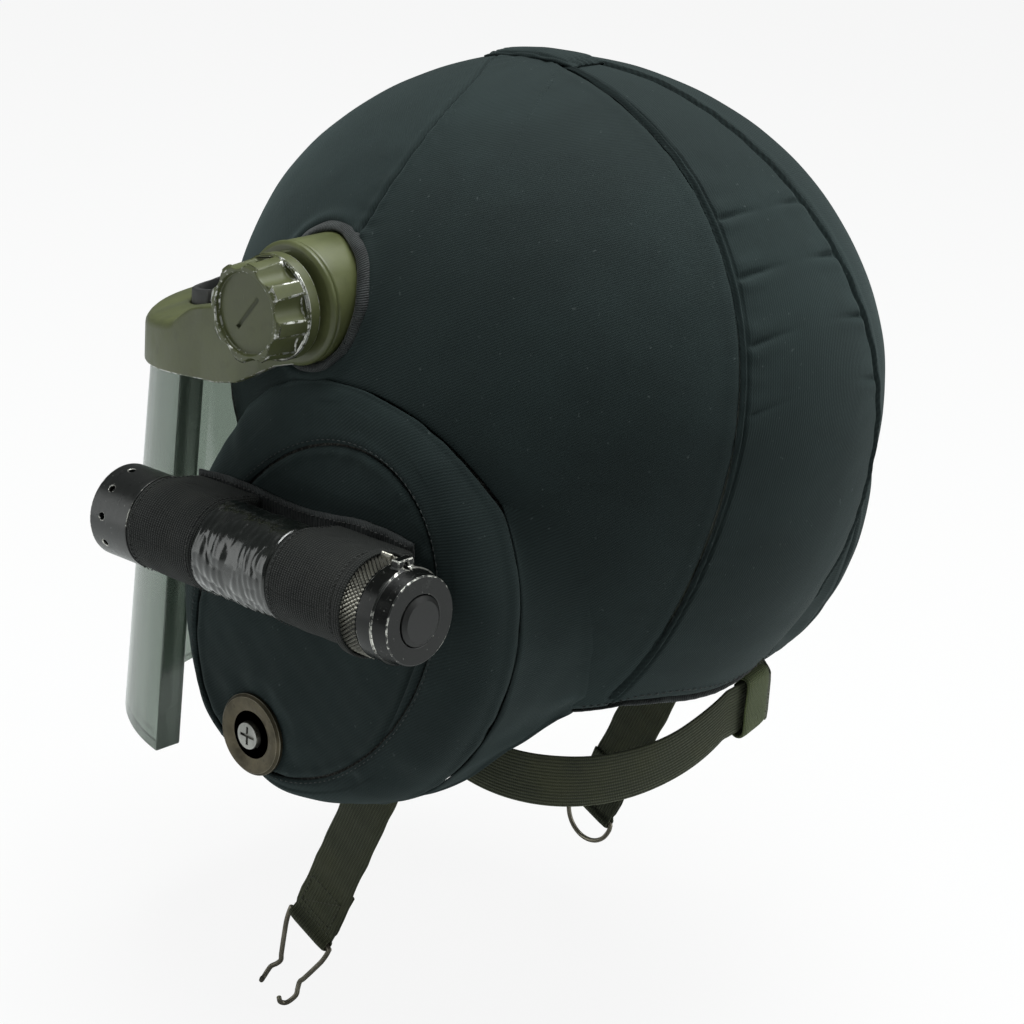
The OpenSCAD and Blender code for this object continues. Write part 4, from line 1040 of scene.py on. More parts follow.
def side_panels():
    """The side panels, from the cup's edge to the hem round the seams and the opening."""
    f = crowded(80, 0.8, 2.0, True)
    k = np.linspace(0, HEM_LAST, 321)[None]
    hem = smooth_at(SIDE_HEM, k)
    fan = lookup(k, SIDE_FAN + [(HEM_LAST, float(nape_turn(NAPE_X)))])
    w = sind(mix(89.3, asind(np.clip(hem[..., 0], 0, 1)), f))
    turn = mix(fan, hem[..., 1], f)
    tail = np.clip((k - HEM_LAST + 2.0) / 2.0, 0, 1)
    turn = turn + tail**2 * (nape_turn(w[:, -1:] * NAPE_X) - turn[:, -1:])
    base = dome_point(w, turn)
    h, d_rear, run = cover_relief(base)
    h += groove(d_rear, 1.15, 0.85) + 0.35 * hump(d_rear, 3.5, 2.5)
    h += pucker(base, d_rear, run, 21, 0.2, 12.0, 10.0) - 0.7 * hump(f * 100, 0, 1.0)
    flat = side_map(base)
    lay_panel("left", base, h, flat, -33)
    lay_panel("right", mirrored(base), h, flat, -33)


def rear_panel():
    """The rear panel, with the piped seam's bead along both its edges and more rows where its pleats are."""
    top = 88.9
    rows = [np.linspace(NAPE_TURN, 30, 80), np.linspace(30, 64, 140)[1:], np.linspace(64, top, 40)[1:]]
    level = np.concatenate(rows)[:, None]
    v = (level - NAPE_TURN) / (top - NAPE_TURN)
    u = np.linspace(-1, 1, 121)[None]
    u = np.sign(u) * (0.35 * np.abs(u) + 0.65 * (1 - (1 - np.abs(u)) ** 1.9))
    x = rear_seam_x(level) * u
    turn = level + (1 - v) * (nape_turn(x) - NAPE_TURN)
    base = dome_point(x / ear_width(turn), turn)
    h, d_rear, run = cover_relief(base)
    h += groove(d_rear, 1.0, 0.6) + sizes().piping * hump(d_rear, 1.7, 0.7) - 1.3 * hump(d_rear, 3.3, 0.75)
    h += pucker(base, d_rear, run, 31, 0.32, 16.0, 14.0) + rear_pleats(base, turn)
    h = h * (1 - hump(v * 200, 0, 2.5)) - 0.7 * hump(v * 200, 0, 1.5)
    lay_panel("rear", base, h, middle_map(base, turn) * [-1, 1], 102)


def lay_panel(part, base, h, flat, grain):
    out = dome_out(base)
    top = base + out * np.clip(h, -1.1, 2.6)[..., None]
    node = "cover_" + part
    mesh = sewn_shell(node + "_cloth", top, base - out * CLOTH, flat)
    piece = make_piece(node + "_cloth", mesh, twill(grain), "helmet", node)


class HELMET_OT_sew_cover(bpy.types.Operator):
    """Sews the four cover panels over the dome, with their sunk and piped seams and gathers"""

    bl_idname = "helmet.sew_cover"
    bl_label = "Sew cover"

    def execute(self, context):
        front_panel()
        side_panels()
        rear_panel()
        return {"FINISHED"}


# the ear cups


def oval_edge(q, inset=0.0):
    """The cup's foot on the dome, as (y, z) round the turn q."""
    return oval(q, EAR_Y, EAR_Z, EAR_A - inset, EAR_B - inset, EAR_TILT)


def disc_edge(q):
    """The cup's face disc, as (y, z) round the turn q."""
    return oval(q, DISC_Y, DISC_Z, DISC_A, DISC_B, DISC_TILT)


def foot_x(q):
    foot = oval_edge(q)
    return np.maximum(half_width(foot[..., 0], foot[..., 1]), WALL_X)


def ring_point(q, s):
    """The cup's padded ring: s from 0 at the disc to 1 at the foot."""
    yz = disc_edge(q) + (oval_edge(q, 0.3) - disc_edge(q)) * sind(90 * s)[..., None]
    x = foot_x(q) + (DISC_X - 1.2 - foot_x(q)) * np.clip(cosd(90 * s), 0, 1) ** 0.8
    return np.concatenate([np.where(s > 0.999, foot_x(q), x)[..., None], yz], -1)


RING_SEAM = [(54.6, -85.4), (48.7, -102.2), (41.5, -117.6), (34, -131.1)]
RING_CREASE = [(-66.5, -97.7), (-62.9, -123.3), (-56.9, -148.4), (-37.7, -161.9), (-4.8, -156.5), (23.6, -144.6)]


def flat_near(yz, points):
    """The distance in the cup's face plane from a smooth line through (y, z) points."""
    line = smooth_line(points, 160)
    far, _ = near(np.concatenate([np.zeros(yz.shape[:-1] + (1,)), yz], -1),
                  np.concatenate([np.zeros((len(line), 1)), line], 1))
    return far


def turns_round(steps, cols):
    """A column of steps and a row of turns in degrees, spread over one grid."""
    return np.broadcast_arrays(steps, (np.arange(cols) * 360 / cols)[None])


def cup_pair(kind, shell, top, under, grain):
    """Makes the left piece of a cup and its mirrored right one; gives each with the name of its side."""
    for side, sign in SIDES:
        node, way = kind + "_" + side, np.array([sign, 1.0, 1.0])
        mesh = shell(node + "_cloth", top * way, under * way)
        yield make_piece(node + "_cloth", mesh, twill(grain), "helmet", node), side


def ear_rings():
    breadth, reach = 46, 80
    s, q = turns_round(crowded(66, 0.7, 1.9, True) * 0.985 + 0.012, 360)
    base = ring_point(q, s)
    yz = base[..., 1:] - [DISC_Y, DISC_Z]
    n = facing(ring_normals(base), np.stack([np.ones(q.shape), *(np.moveaxis(yz, -1, 0) / 90)], -1))
    inner, outer = s * breadth, (1 - s) * breadth
    arc = np.radians(q) * reach
    h = 0.5 * ripple(base, 55, 41) + 0.2 * ripple(base, 20, 42)
    h += 1.2 * hump(inner, 4.5, 3.5) - 1.1 * hump(inner, 0, 1.1)
    h += -0.9 * hump(outer, 0, 1.0) + 0.9 * hump(outer, 3.5, 2.6)
    waves = np.sin(arc / 2.9 + 2.2 * ripple(base, 30, 43)) * (0.5 + 0.5 * ripple(base, 26, 44))
    h += 0.42 * waves * (hump(inner, 3, 4) + 0.8 * hump(outer, 3, 5))
    folds = np.sin(arc / 7.5 + 1.6 * ripple(base, 45, 45))
    h += 0.55 * folds * hump(s, 0.5, 0.35) * (0.4 + 0.6 * ripple(base, 60, 46))
    crease = flat_near(base[..., 1:], RING_CREASE)
    low = np.clip((-base[..., 2] - 85) / 20, 0, 1)
    h += low * (-2.0 * hump(crease, 0, 2.4) + 0.9 * hump(crease, 6, 4))
    deep = np.clip(h, -2.4, 2.6) * np.where(base[..., 0] > DISC_X - 2.7, 0.4, 1.0)
    top = base + n * deep[..., None]
    top[..., 0] = np.minimum(top[..., 0], DISC_X + 2.2)
    rise = np.linalg.norm(np.diff(base, axis=0), axis=-1)
    run = np.concatenate([np.zeros((1, s.shape[1])), np.cumsum(rise, 0)])[..., None]
    flat = base[:1, :, 1:] + run * unit(yz[:1])

    def shell(name, a, b):
        return sewn_shell(name, a, b, flat, True)

    for piece, side in cup_pair("ear_ring", shell, top, base - n * CLOTH, -40):
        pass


def ear_discs():
    rows, cols, reach = 70, 300, 68
    f, q = turns_round(crowded(rows, 0.6, 2.0) * 0.985 + 0.004, cols)
    yz = disc_edge(q) * f[..., None] + np.array([DISC_Y, DISC_Z]) * (1 - f[..., None])
    y, z = yz[..., 0], yz[..., 1]
    base = np.concatenate([(DISC_X - 1.2 * f**4)[..., None], yz], -1)
    edge = (1 - f) * reach
    away = np.hypot(y - WASHER_Y, z - WASHER_Z)
    by_torch = np.abs(z - TORCH_Z - 0.035 * y)
    room = ramp(away, 17, 10) * ramp(by_torch, 20, 8)
    h = room * (1.5 * np.clip(1 - f**3, 0, 1) + 0.45 * ripple(base, 38, 51) + 0.2 * ripple(base, 15, 52))
    h += -1.3 * hump(edge, 0, 1.0) + 0.7 * hump(edge, 3.0, 2.2) * np.clip(room + 0.3, 0, 1)
    seam = flat_near(yz, RING_SEAM)
    h += -1.2 * hump(seam, 0, 0.8) + 0.4 * hump(seam, 2.6, 1.7)
    waves = np.sin(np.radians(q) * reach / 2.4 + 2 * ripple(base, 24, 53))
    h += 0.3 * waves * hump(edge, 2.5, 4) * (0.5 + 0.5 * ripple(base, 22, 54))
    fan = np.sin(np.degrees(np.arctan2(z - WASHER_Z, y - WASHER_Y)) / 6.5)
    h += 0.35 * fan * hump(away, 24, 8) * ramp(away, 17.5, 4)
    hole = ramp(away, 3.6, 1.0)
    top = base.copy()
    top[..., 0] += np.clip(h, -1.0, 2.6) * hole

    def shell(name, a, b):
        """Both faces, the wall between their rims and a small face over each middle."""
        size = rows * cols
        rim = [(rows - 1) * cols + j for j in range(cols)]
        faces = grid_faces(rows, cols, True) + flip(grid_faces(rows, cols, True, size))
        faces += [[i, j, j + size, i + size] for i, j in zip(rim, rim[1:] + rim[:1])]
        faces += [list(range(cols))[::-1], [size + j for j in range(cols)]]
        return two_layers(name, a, b, yz, faces)

    for piece, side in cup_pair("ear_panel", shell, top, base - np.array([CLOTH, 0, 0]), -40):
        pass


def cup_skirts():
    reach = 92
    f = np.linspace(0, 1, 24)[:, None]
    p = np.linspace(SKIRT_FROM, SKIRT_TO, 300)[None]
    near_x = np.where(p > -29, ear_width(p) - 0.8, lookup(p, SKIRT_IN))
    near_x = near_x - 7.0 * hump(p, -26, 7)
    x = mix(np.minimum(near_x, WALL_X - 1.0), WALL_X + 1.4, f)
    swell = ramp(p, -30, 12) * np.clip((SKIRT_TO - p) / 12, 0, 1)
    swell = (swell * swell * (3 - 2 * swell))[..., None]
    foot = dome_point(1.0 - 0.11 * swell[..., 0], p, 0.7)
    corner = dome_point(1.0 + 0 * p, p)
    fold = np.sin(np.radians(p) * 95 / 5.2 + 1.5 * f)

    def at(out):
        """The wall at a distance out, turning to a hollow curve where the dome is near."""
        r = oval_reach(p) + out
        wall = from_ear(x, r, p)
        away = np.stack(np.broadcast_arrays(0.5, cosd(p), sind(p)), -1)
        g = f[..., None]
        curve = (1 - g) ** 2 * foot + 2 * (g * (1 - g)) * corner + (g**2) * wall[-1:]
        over = out if np.ndim(out) else 0.0 * f
        curve = curve + away * (over * 0.7 * np.sin(math.pi * np.clip(f + 0.06, 0, 0.97)))[..., None]
        return mix(wall, curve, swell)

    base = at(0.0 * f)
    wave = 0.5 * fold * np.sin(math.pi * f) * (0.5 + 0.5 * ripple(base, 40, 61)) + 0.35 * ripple(base, 18, 62)
    bead = 1.0 * hump(f * 24, 2.0, 1.6) - 0.6 * hump((1 - f) * 24, 0, 1.4)
    top, under = at(CLOTH + 0.1 + np.clip(wave + bead, -0.7, 1.7)), at(0.1 + 0 * f + 0 * p)
    flat = np.stack(np.broadcast_arrays(np.radians(p) * reach, x), -1)

    def shell(name, a, b):
        return sewn_shell(name, a, b, flat)

    for piece, side in cup_pair("cup_skirt", shell, top, under, 70):
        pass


class HELMET_OT_sew_ear_cups(bpy.types.Operator):
    """Sews the padded ear cups: skirt, ring with its gathered seams, and pillowed face disc"""

    bl_idname = "helmet.sew_ear_cups"
    bl_label = "Sew ear cups"

    def execute(self, context):
        ear_rings()
        ear_discs()
        cup_skirts()
        return {"FINISHED"}


# hems, lips and the crest


def rolled_hem(edge, low, turn, material):
    """A rolled edging along the brow or the nape."""
    rings = []
    for j in range(241):
        w = sin_of(178 * j / 240 - 89)
        p = turn + (0.0 if turn > 0 else float(nape_turn(w * NAPE_X)) - NAPE_TURN)
        a = dome_point(w, p + low)
        across = unit(dome_point(w, p + low + 1.3) - a)
        inner = dome_point(w, p + low, SHELL_IN + 0.5)
        thick = np.linalg.norm(a - inner)
        out = (a - inner) / thick
        wave = 0.3 * math.sin(j * 0.9) + 0.2 * math.sin(j * 0.37 + 1)
        ring = []
        for t in np.linspace(0, 360, 20, endpoint=False):
            along = out * (-thick / 2 + (thick / 2 + 0.35) * math.cos(math.radians(t)))
            rise = across * (1.7 + (1.75 + 0.12 * wave) * sin_of(t))
            ring.append(a + along + rise + out * 0.2 * wave)
        rings.append(ring)
    make_piece(edge + "_hem", swept(edge + "_hem", rings), material, "helmet", edge + "_trim")


def slot_lip(side, sign):
    """The bound edge of the opening round a pivot."""
    rings = []
    for i in range(180):
        a = 2 * i
        swell = hump((a - 25 + 180) % 360 - 180, 0, 60)
        high = 1.6 + 2.2 * swell + 0.35 * sin_of(a, 7)
        half = 1.7 + 1.3 * swell + 0.12 * sin_of(a, 11)
        mid = COLLAR_R + 0.35 + half
        ring = []
        for t in np.linspace(0, 360, 16, endpoint=False):
            r = mid + half * math.cos(math.radians(t)) + 0.2 * sin_of(a, 9)
            y, z = PIVOT_Y + r * cosd(a), PIVOT_Z + r * sind(a)
            up = sin_of(t)
            ring.append((sign * (half_width(y, z) + (high if up > 0 else CLOTH + 0.5) * up), y, z))
        rings.append(ring)
    name = "slot_lip_" + side
    make_piece(name, swept(name, rings, closed=True), binding_cloth(), "helmet", "slot_binding_" + side)


class HELMET_OT_bind_edges(bpy.types.Operator):
    """Rolls the cloth over the brow and nape edges and binds the two pivot openings"""

    bl_idname = "helmet.bind_edges"
    bl_label = "Bind edges"

    def execute(self, context):
        rolled_hem("brow", 0.15, BROW_TURN, rubber("edge_rubber", 0.012, 0.55))
        rolled_hem("nape", -2.6, NAPE_TURN, binding_cloth())
        for side, sign in SIDES:
            slot_lip(side, sign)
        return {"FINISHED"}


class HELMET_OT_sew_crest(bpy.types.Operator):
    """Sews the padded crest piece over the meeting of the seams at the crown"""

    bl_idname = "helmet.sew_crest"
    bl_label = "Sew crest"

    def execute(self, context):
        u, v = square_grid(60, 70)
        w, turn = 0.068 * v * (1 - 0.12 * u), CREST_TURN + 7.2 * u
        base = dome_point(w, turn)
        out = dome_out(base)
        edge = np.minimum(1 - np.abs(u), 1 - np.abs(v))
        h = 0.8 + 2.2 * np.clip((1 - u**4) * (1 - v**4), 0, 1) ** 0.7
        h += 0.35 * np.sin(v * 14 + 2 * ripple(base, 12, 71)) * hump(edge, 0.08, 0.16)
        h += -0.7 * hump(edge, 0.16, 0.05) + 0.25 * ripple(base, 14, 72)
        top = base + out * np.maximum(h, 0.5)[..., None]
        mesh = sewn_shell("crown_crest", top, base + out * 0.15, middle_map(base, turn))
        make_piece("crown_crest", mesh, twill(4), "helmet", "crown_welt")
        return {"FINISHED"}


# the liner


def puffed(name, outer, inner, flat, seed):
    """A sewn pad from its outer face on the shell and its inner face, with rounded sides and a dimpled front."""
    rounding = 0.22
    u, v = square_grid(*outer.shape[:2])
    edge = np.minimum(1 - np.abs(u), 1 - np.abs(v))
    crown = np.clip(1 - (1 - np.clip(edge / rounding, 0, 1)) ** 2, 0, 1) ** 0.5
    away = inner - outer
    deep = np.linalg.norm(away, axis=-1, keepdims=True)
    h = deep[..., 0] * (0.45 + 0.55 * crown) - 0.5 - 1.6 * hump(edge, rounding * 0.75, 0.03)
    h = np.minimum(h + 0.4 * ripple(outer, 30, seed), deep[..., 0] - 0.2)
    front = outer + away / deep * h[..., None]
    back = outer + (outer.reshape(-1, 3).mean(0) - outer) * 0.02
    return sewn_shell(name, front, back, flat)


# The pads on the middle line as (node, half width, low turn, high turn, roundness).
MIDDLE_PADS = (("pad_front", 62, 117, 141, 0.15), ("pad_rear", 48, -8, 51, 0.15), ("pad_crown", 50, 76, 106, 0.5))


def bowed(u, v, k):
    """A share along one way of a pad, drawn in towards its corners."""
    return u * np.sqrt(1 - k * v * v)


def pad_mesh(name, spot, axes, seed):
    """A pad's mesh from its outline on the shell, given by shares down and across, and seen along axes."""
    u, v = square_grid(56, 56)

    def face(share, depth):
        p = spot(u * share, v * share)
        return p - dome_out(p) * depth

    outer, inner = face(1.0, 0.0), face(0.94, sizes().pad_thickness / MM)
    return puffed(name, outer, inner, outer[..., axes], seed)


def fill_pad(node, mesh):
    piece = make_piece(node + "_cushion", mesh, soft_lining("pad_lining", 0.045), "helmet", node)


def middle_pads():
    for name, half, low, high, k in MIDDLE_PADS:

        def spot(a, b):
            x = half * bowed(b, a, k)
            p = (low + high) / 2 + (high - low) / 2 * bowed(a, b, k)
            r = ray_reach(x, p, PAD_OUT)
            return from_ear(x, r, p)

        fill_pad(name, pad_mesh(name + "_cushion", spot, slice(0, 2), len(name)))


def side_pads():
    def spot(a, b):
        y, z = 31 + 35 * bowed(a, b, 0.15), 54 + 28 * bowed(b, a, 0.15)
        return np.stack([half_width(y, z, PAD_OUT), y, z], -1)

    verts, faces = [], []
    for _, sign in SIDES:
        mesh = pad_mesh("side", spot, slice(1, 3), 9)
        pts = np.empty(len(mesh.vertices) * 3)
        mesh.vertices.foreach_get("co", pts)
        faces += [[len(verts) + i for i in poly.vertices] for poly in mesh.polygons]
        verts += (pts.reshape(-1, 3) / MM * [sign, 1, 1]).tolist()
    fill_pad("side_pads", outward(make_mesh("side_pads_cushion", verts, faces, np.asarray(verts)[:, 1:])))


def ear_cushions():
    n, m = 150, 26
    t = np.linspace(0, 360, n, endpoint=False)[:, None]
    a = np.linspace(0, 360, m, endpoint=False)[None]
    gather = 0.5 * np.sin(np.radians(t) * 34 + np.sin(np.radians(t) * 5)) * hump(off_zero(a), 90, 45)
    tube = (1 - 0.05 * hump(off_zero(a), 90, 14)) + 0 * t
    r = 40 + (11.2 + 0.5 * gather) * cosd(a) * tube
    x = (16.4 + 0.4 * gather) * sind(a) * tube
    long, short = r * cosd(t) * 1.15, r * sind(t)
    y = EAR_Y + 4 + long * cosd(EAR_TILT) - short * sind(EAR_TILT)
    z = EAR_Z + 12 + long * sind(EAR_TILT) + short * cosd(EAR_TILT)
    verts = np.concatenate([np.stack([sign * (CUSHION_X + x), y, z], -1).reshape(-1, 3) for _, sign in SIDES])
    faces = grid_faces(n, m, True, 0, True) + grid_faces(n, m, True, n * m, True)
    name = "ear_cushions_leather"
    mesh = outward(make_mesh(name, verts, faces, verts[:, 1:]))
    make_piece(name, mesh, cushion_leather(), "helmet", "ear_cushions")


def cup_foams():
    for side, _ in SIDES:
        node = "ear_foam_" + side
        mesh = bpy.data.objects[node].data.copy()
        shut(welded(mesh), mesh)
        mesh.name = node + "_filling"
        mesh.polygons.foreach_set("use_smooth", [True] * len(mesh.polygons))
        make_piece(node + "_filling", mesh, open_foam(), "helmet", node)


class HELMET_OT_fill_liner(bpy.types.Operator):
    """Fills the liner: brow, nape, crown and side pads, ear cushions and the foam of the cups"""

    bl_idname = "helmet.fill_liner"
    bl_label = "Fill liner"

    def execute(self, context):
        middle_pads()
        side_pads()
        ear_cushions()
        cup_foams()
        return {"FINISHED"}


# node trees that repeat or follow a path


def new_tree(name, inputs, nodes, links):
    """A geometry tree from its named inputs, its nodes as (kind, settings, socket values) and its links.

    A link reads "start.Geometry > curve.Mesh"; start and end are the tree's own input and output.
    """
    tree = bpy.data.node_groups.new(name, "GeometryNodeTree")
    tree.interface.new_socket("Geometry", in_out="INPUT", socket_type="NodeSocketGeometry")
    for label, kind in inputs.items():
        tree.interface.new_socket(label, in_out="INPUT", socket_type="NodeSocket" + kind)
    tree.interface.new_socket("Geometry", in_out="OUTPUT", socket_type="NodeSocketGeometry")
    made = {"start": tree.nodes.new("NodeGroupInput"), "end": tree.nodes.new("NodeGroupOutput")}
    for label, (kind, *rest) in nodes.items():
        made[label] = tree.nodes.new(kind)
        settings, values = (*rest, {}, {})[:2]
        for key, value in settings.items():
            setattr(made[label], key, value)
        for key, value in values.items():
            made[label].inputs[key].default_value = value
    for row in links.split(";"):
        (giver, output), (taker, socket) = (end.strip().split(".") for end in row.split(">"))
        tree.links.new(made[giver].outputs[output], made[taker].inputs[socket])
    return tree


def grown(name, mesh, tree, values, body, node=None):
    """Runs a geometry tree over a mesh and keeps the result as a plain piece."""
    seed = placed(name + "_path", mesh)
    modifier = seed.modifiers.new("grow", "NODES")
    modifier.node_group = tree
    for item in tree.interface.items_tree:
        if item.in_out == "INPUT" and item.name in values:
            modifier[item.identifier] = values[item.name]
    bpy.context.view_layer.update()
    graph = bpy.context.evaluated_depsgraph_get()
    result = bpy.data.meshes.new_from_object(seed.evaluated_get(graph))
    result.name = name
    bpy.data.objects.remove(seed)
    return make_piece(name, result, None, body, node)


def path_mesh(name, lines, closed=False, normals=None):
    """A mesh of loose edges along lines of points in millimetres, with a direction to each point where given."""
    verts, edges = [], []
    for line in lines:
        base = len(verts)
        verts += [tuple(v * MM for v in p) for p in line]
        edges += [(base + i, base + i + 1) for i in range(len(line) - 1)]
        if closed:
            edges.append((base + len(line) - 1, base))
    mesh = bpy.data.meshes.new(name)
    mesh.from_pydata(verts, edges, [])
    if normals is not None:
        layer = mesh.attributes.new("up", "FLOAT_VECTOR", "POINT")
        layer.data.foreach_set("vector", np.asarray(normals, np.float32).ravel())
    return mesh


@kept
def wire_tree():
    """Bends a round wire along a path."""
    nodes = {
        "curve": ("GeometryNodeMeshToCurve",),
        "round": ("GeometryNodeCurvePrimitiveCircle", {}, {"Resolution": 14}),
        "sweep": ("GeometryNodeCurveToMesh", {}, {"Fill Caps": True}),
        "smooth": ("GeometryNodeSetShadeSmooth",),
        "real": ("GeometryNodeRealizeInstances",),
        "finish": ("GeometryNodeSetMaterial",),
    }
    return new_tree("bend_wire", {"Wire Radius": "Float", "Wire Finish": "Material"}, nodes, """
        start.Geometry > curve.Mesh; start.Wire Radius > round.Radius; curve.Curve > sweep.Curve;
        round.Curve > sweep.Profile Curve; sweep.Mesh > smooth.Geometry; smooth.Geometry > real.Geometry;
        real.Geometry > finish.Geometry; start.Wire Finish > finish.Material; finish.Geometry > end.Geometry
    """)


@kept
def stitch_tree():
    """Lays a row of short thread stitches along a path, each lying on the surface."""
    inputs = {"Stitch Pitch": "Float", "Stitch Length": "Float", "Thread Radius": "Float", "Thread Finish": "Material"}
    nodes = {
        "curve": ("GeometryNodeMeshToCurve",),
        "spaced": ("GeometryNodeResampleCurve", {"mode": "LENGTH"}),
        "bead": ("GeometryNodeMeshUVSphere", {}, {"Segments": 6, "Rings": 5, "Radius": 1.0}),
        "along": ("GeometryNodeInputTangent",),
        "turn": ("FunctionNodeAlignRotationToVector", {"axis": "X"}),
        "half": ("ShaderNodeMath", {"operation": "MULTIPLY"}, {1: 0.5}),
        "size": ("ShaderNodeCombineXYZ",),
        "spread": ("GeometryNodeInstanceOnPoints",),
        "real": ("GeometryNodeRealizeInstances",),
        "smooth": ("GeometryNodeSetShadeSmooth",),
        "finish": ("GeometryNodeSetMaterial",),
    }
    return new_tree("lay_stitches", inputs, nodes, """
        start.Geometry > curve.Mesh; curve.Curve > spaced.Curve; start.Stitch Pitch > spaced.Length;
        start.Stitch Length > half.Value; half.Value > size.X; start.Thread Radius > size.Y;
        start.Thread Radius > size.Z; along.Tangent > turn.Vector; spaced.Curve > spread.Points;
        bead.Mesh > spread.Instance; turn.Rotation > spread.Rotation; size.Vector > spread.Scale;
        spread.Instances > real.Geometry; real.Geometry > smooth.Geometry; smooth.Geometry > finish.Geometry;
        start.Thread Finish > finish.Material; finish.Geometry > end.Geometry
    """)


@kept
def knurl_tree():
    """Stands a small four-sided point on each seed, along its own outward direction."""
    cone = {"Vertices": 4, "Radius Top": 0.35, "Radius Bottom": 1.0, "Depth": 1.0}
    nodes = {
        "seeds": ("GeometryNodeMeshToPoints",),
        "cone": ("GeometryNodeMeshCone", {}, cone),
        "up": ("GeometryNodeInputNamedAttribute", {"data_type": "FLOAT_VECTOR"}, {"Name": "up"}),
        "turn": ("FunctionNodeAlignRotationToVector", {"axis": "Z"}),
        "size": ("ShaderNodeCombineXYZ",),
        "spread": ("GeometryNodeInstanceOnPoints",),
        "real": ("GeometryNodeRealizeInstances",),
        "finish": ("GeometryNodeSetMaterial",),
    }
    inputs = {"Point Width": "Float", "Point Height": "Float", "Knurl Finish": "Material"}
    return new_tree("raise_knurl", inputs, nodes, """
        start.Geometry > seeds.Mesh; start.Point Width > size.X; start.Point Width > size.Y;
        start.Point Height > size.Z; up.Attribute > turn.Vector; seeds.Points > spread.Points;
        cone.Mesh > spread.Instance; turn.Rotation > spread.Rotation; size.Vector > spread.Scale;
        spread.Instances > real.Geometry; real.Geometry > finish.Geometry; start.Knurl Finish > finish.Material;
        finish.Geometry > end.Geometry
    """)


def stitched(name, lines, body, pitch, length, radius, finish, closed=False):
    """Rows of stitches along lines of points in millimetres."""
    values = {"Stitch Pitch": pitch * MM, "Stitch Length": length * MM, "Thread Radius": radius * MM}
    grown(name, path_mesh(name, lines, closed), stitch_tree(), {**values, "Thread Finish": finish}, body)


def bent_wire(name, points, radius, finish, body, node=None, closed=False):
    """A round wire along a line of points in millimetres."""
    values = {"Wire Radius": radius * MM, "Wire Finish": finish}
    outward(grown(name, path_mesh(name, [points], closed), wire_tree(), values, body, node).data)


# Over half a strap's section: shares of its half width, and of its half thickness at each.
ACROSS = (-1, -0.93, -0.6, 0, 0.6, 0.93, 1)
THICKNESS = (0.35, 0.75, 1, 1, 1, 0.75, 0.35)


# straps and wires


def strap_mesh(name, centres, across, normals, wide, thick):
    """A woven strap with soft edges along a line of centres."""
    lay = np.asarray(wide)[:, None] / 2 * np.array(ACROSS + ACROSS[::-1])
    lift = thick / 2 * np.concatenate([THICKNESS, np.negative(THICKNESS[::-1])])
    across, normals = np.asarray(across)[:, None], np.asarray(normals)[:, None]
    rings = centres[:, None] + across * lay[..., None] + normals * lift[:, None]
    uv = np.stack([np.repeat(run_along(centres), len(lift)), lay.ravel()], -1)
    return swept(name, rings, uv=uv)


def lean_point(side, x, y, z):
    """A point in a chin strap's leaning frame, as (side, along and down) from its stud."""
    a = math.radians(-CHIN_LEAN)
    along, up = y * math.cos(a) - z * math.sin(a), y * math.sin(a) + z * math.cos(a)
    return np.array([side * (WALL_X - 14 + x), STUD_Y + along, STUD_Z + up])


def nape_sag(u):
    t = np.minimum(u / 0.88, 1)
    return NAPE_Z - 9 * sind(180 * t) + 6 * t**6


def nape_spot(q):
    u = np.where(q < KEEPER_Q, q / KEEPER_Q, (180 - q) / (180 - KEEPER_Q))
    return np.stack([NAPE_RX * cosd(q), NAPE_CY + NAPE_RY * sind(q), nape_sag(u)], -1)


def nape_out(q):
    return unit(np.stack([cosd(q) / NAPE_RX, sind(q) / NAPE_RY, 0 * q], -1))


# The keeper's fold round the nape strap, as (out, up) from the strap's middle.
KEEPER_FOLD = [(-11.6, 31), (-11.7, 24), (-11.4, 17), (-8.6, 13.4), (-3.5, 12.8), (1.2, 13.3), (3.2, 11.4), (3.5, 6),
               (3.3, 0), (3.4, -6), (3.1, -11.2), (1.0, -13.0), (-1.4, -12.6), (-3.0, -10.4), (-3.2, -4), (-3.1, 3),
               (-3.0, 9.4)]


def line_length(points):
    return np.linalg.norm(np.diff(points, axis=0), axis=1).sum()


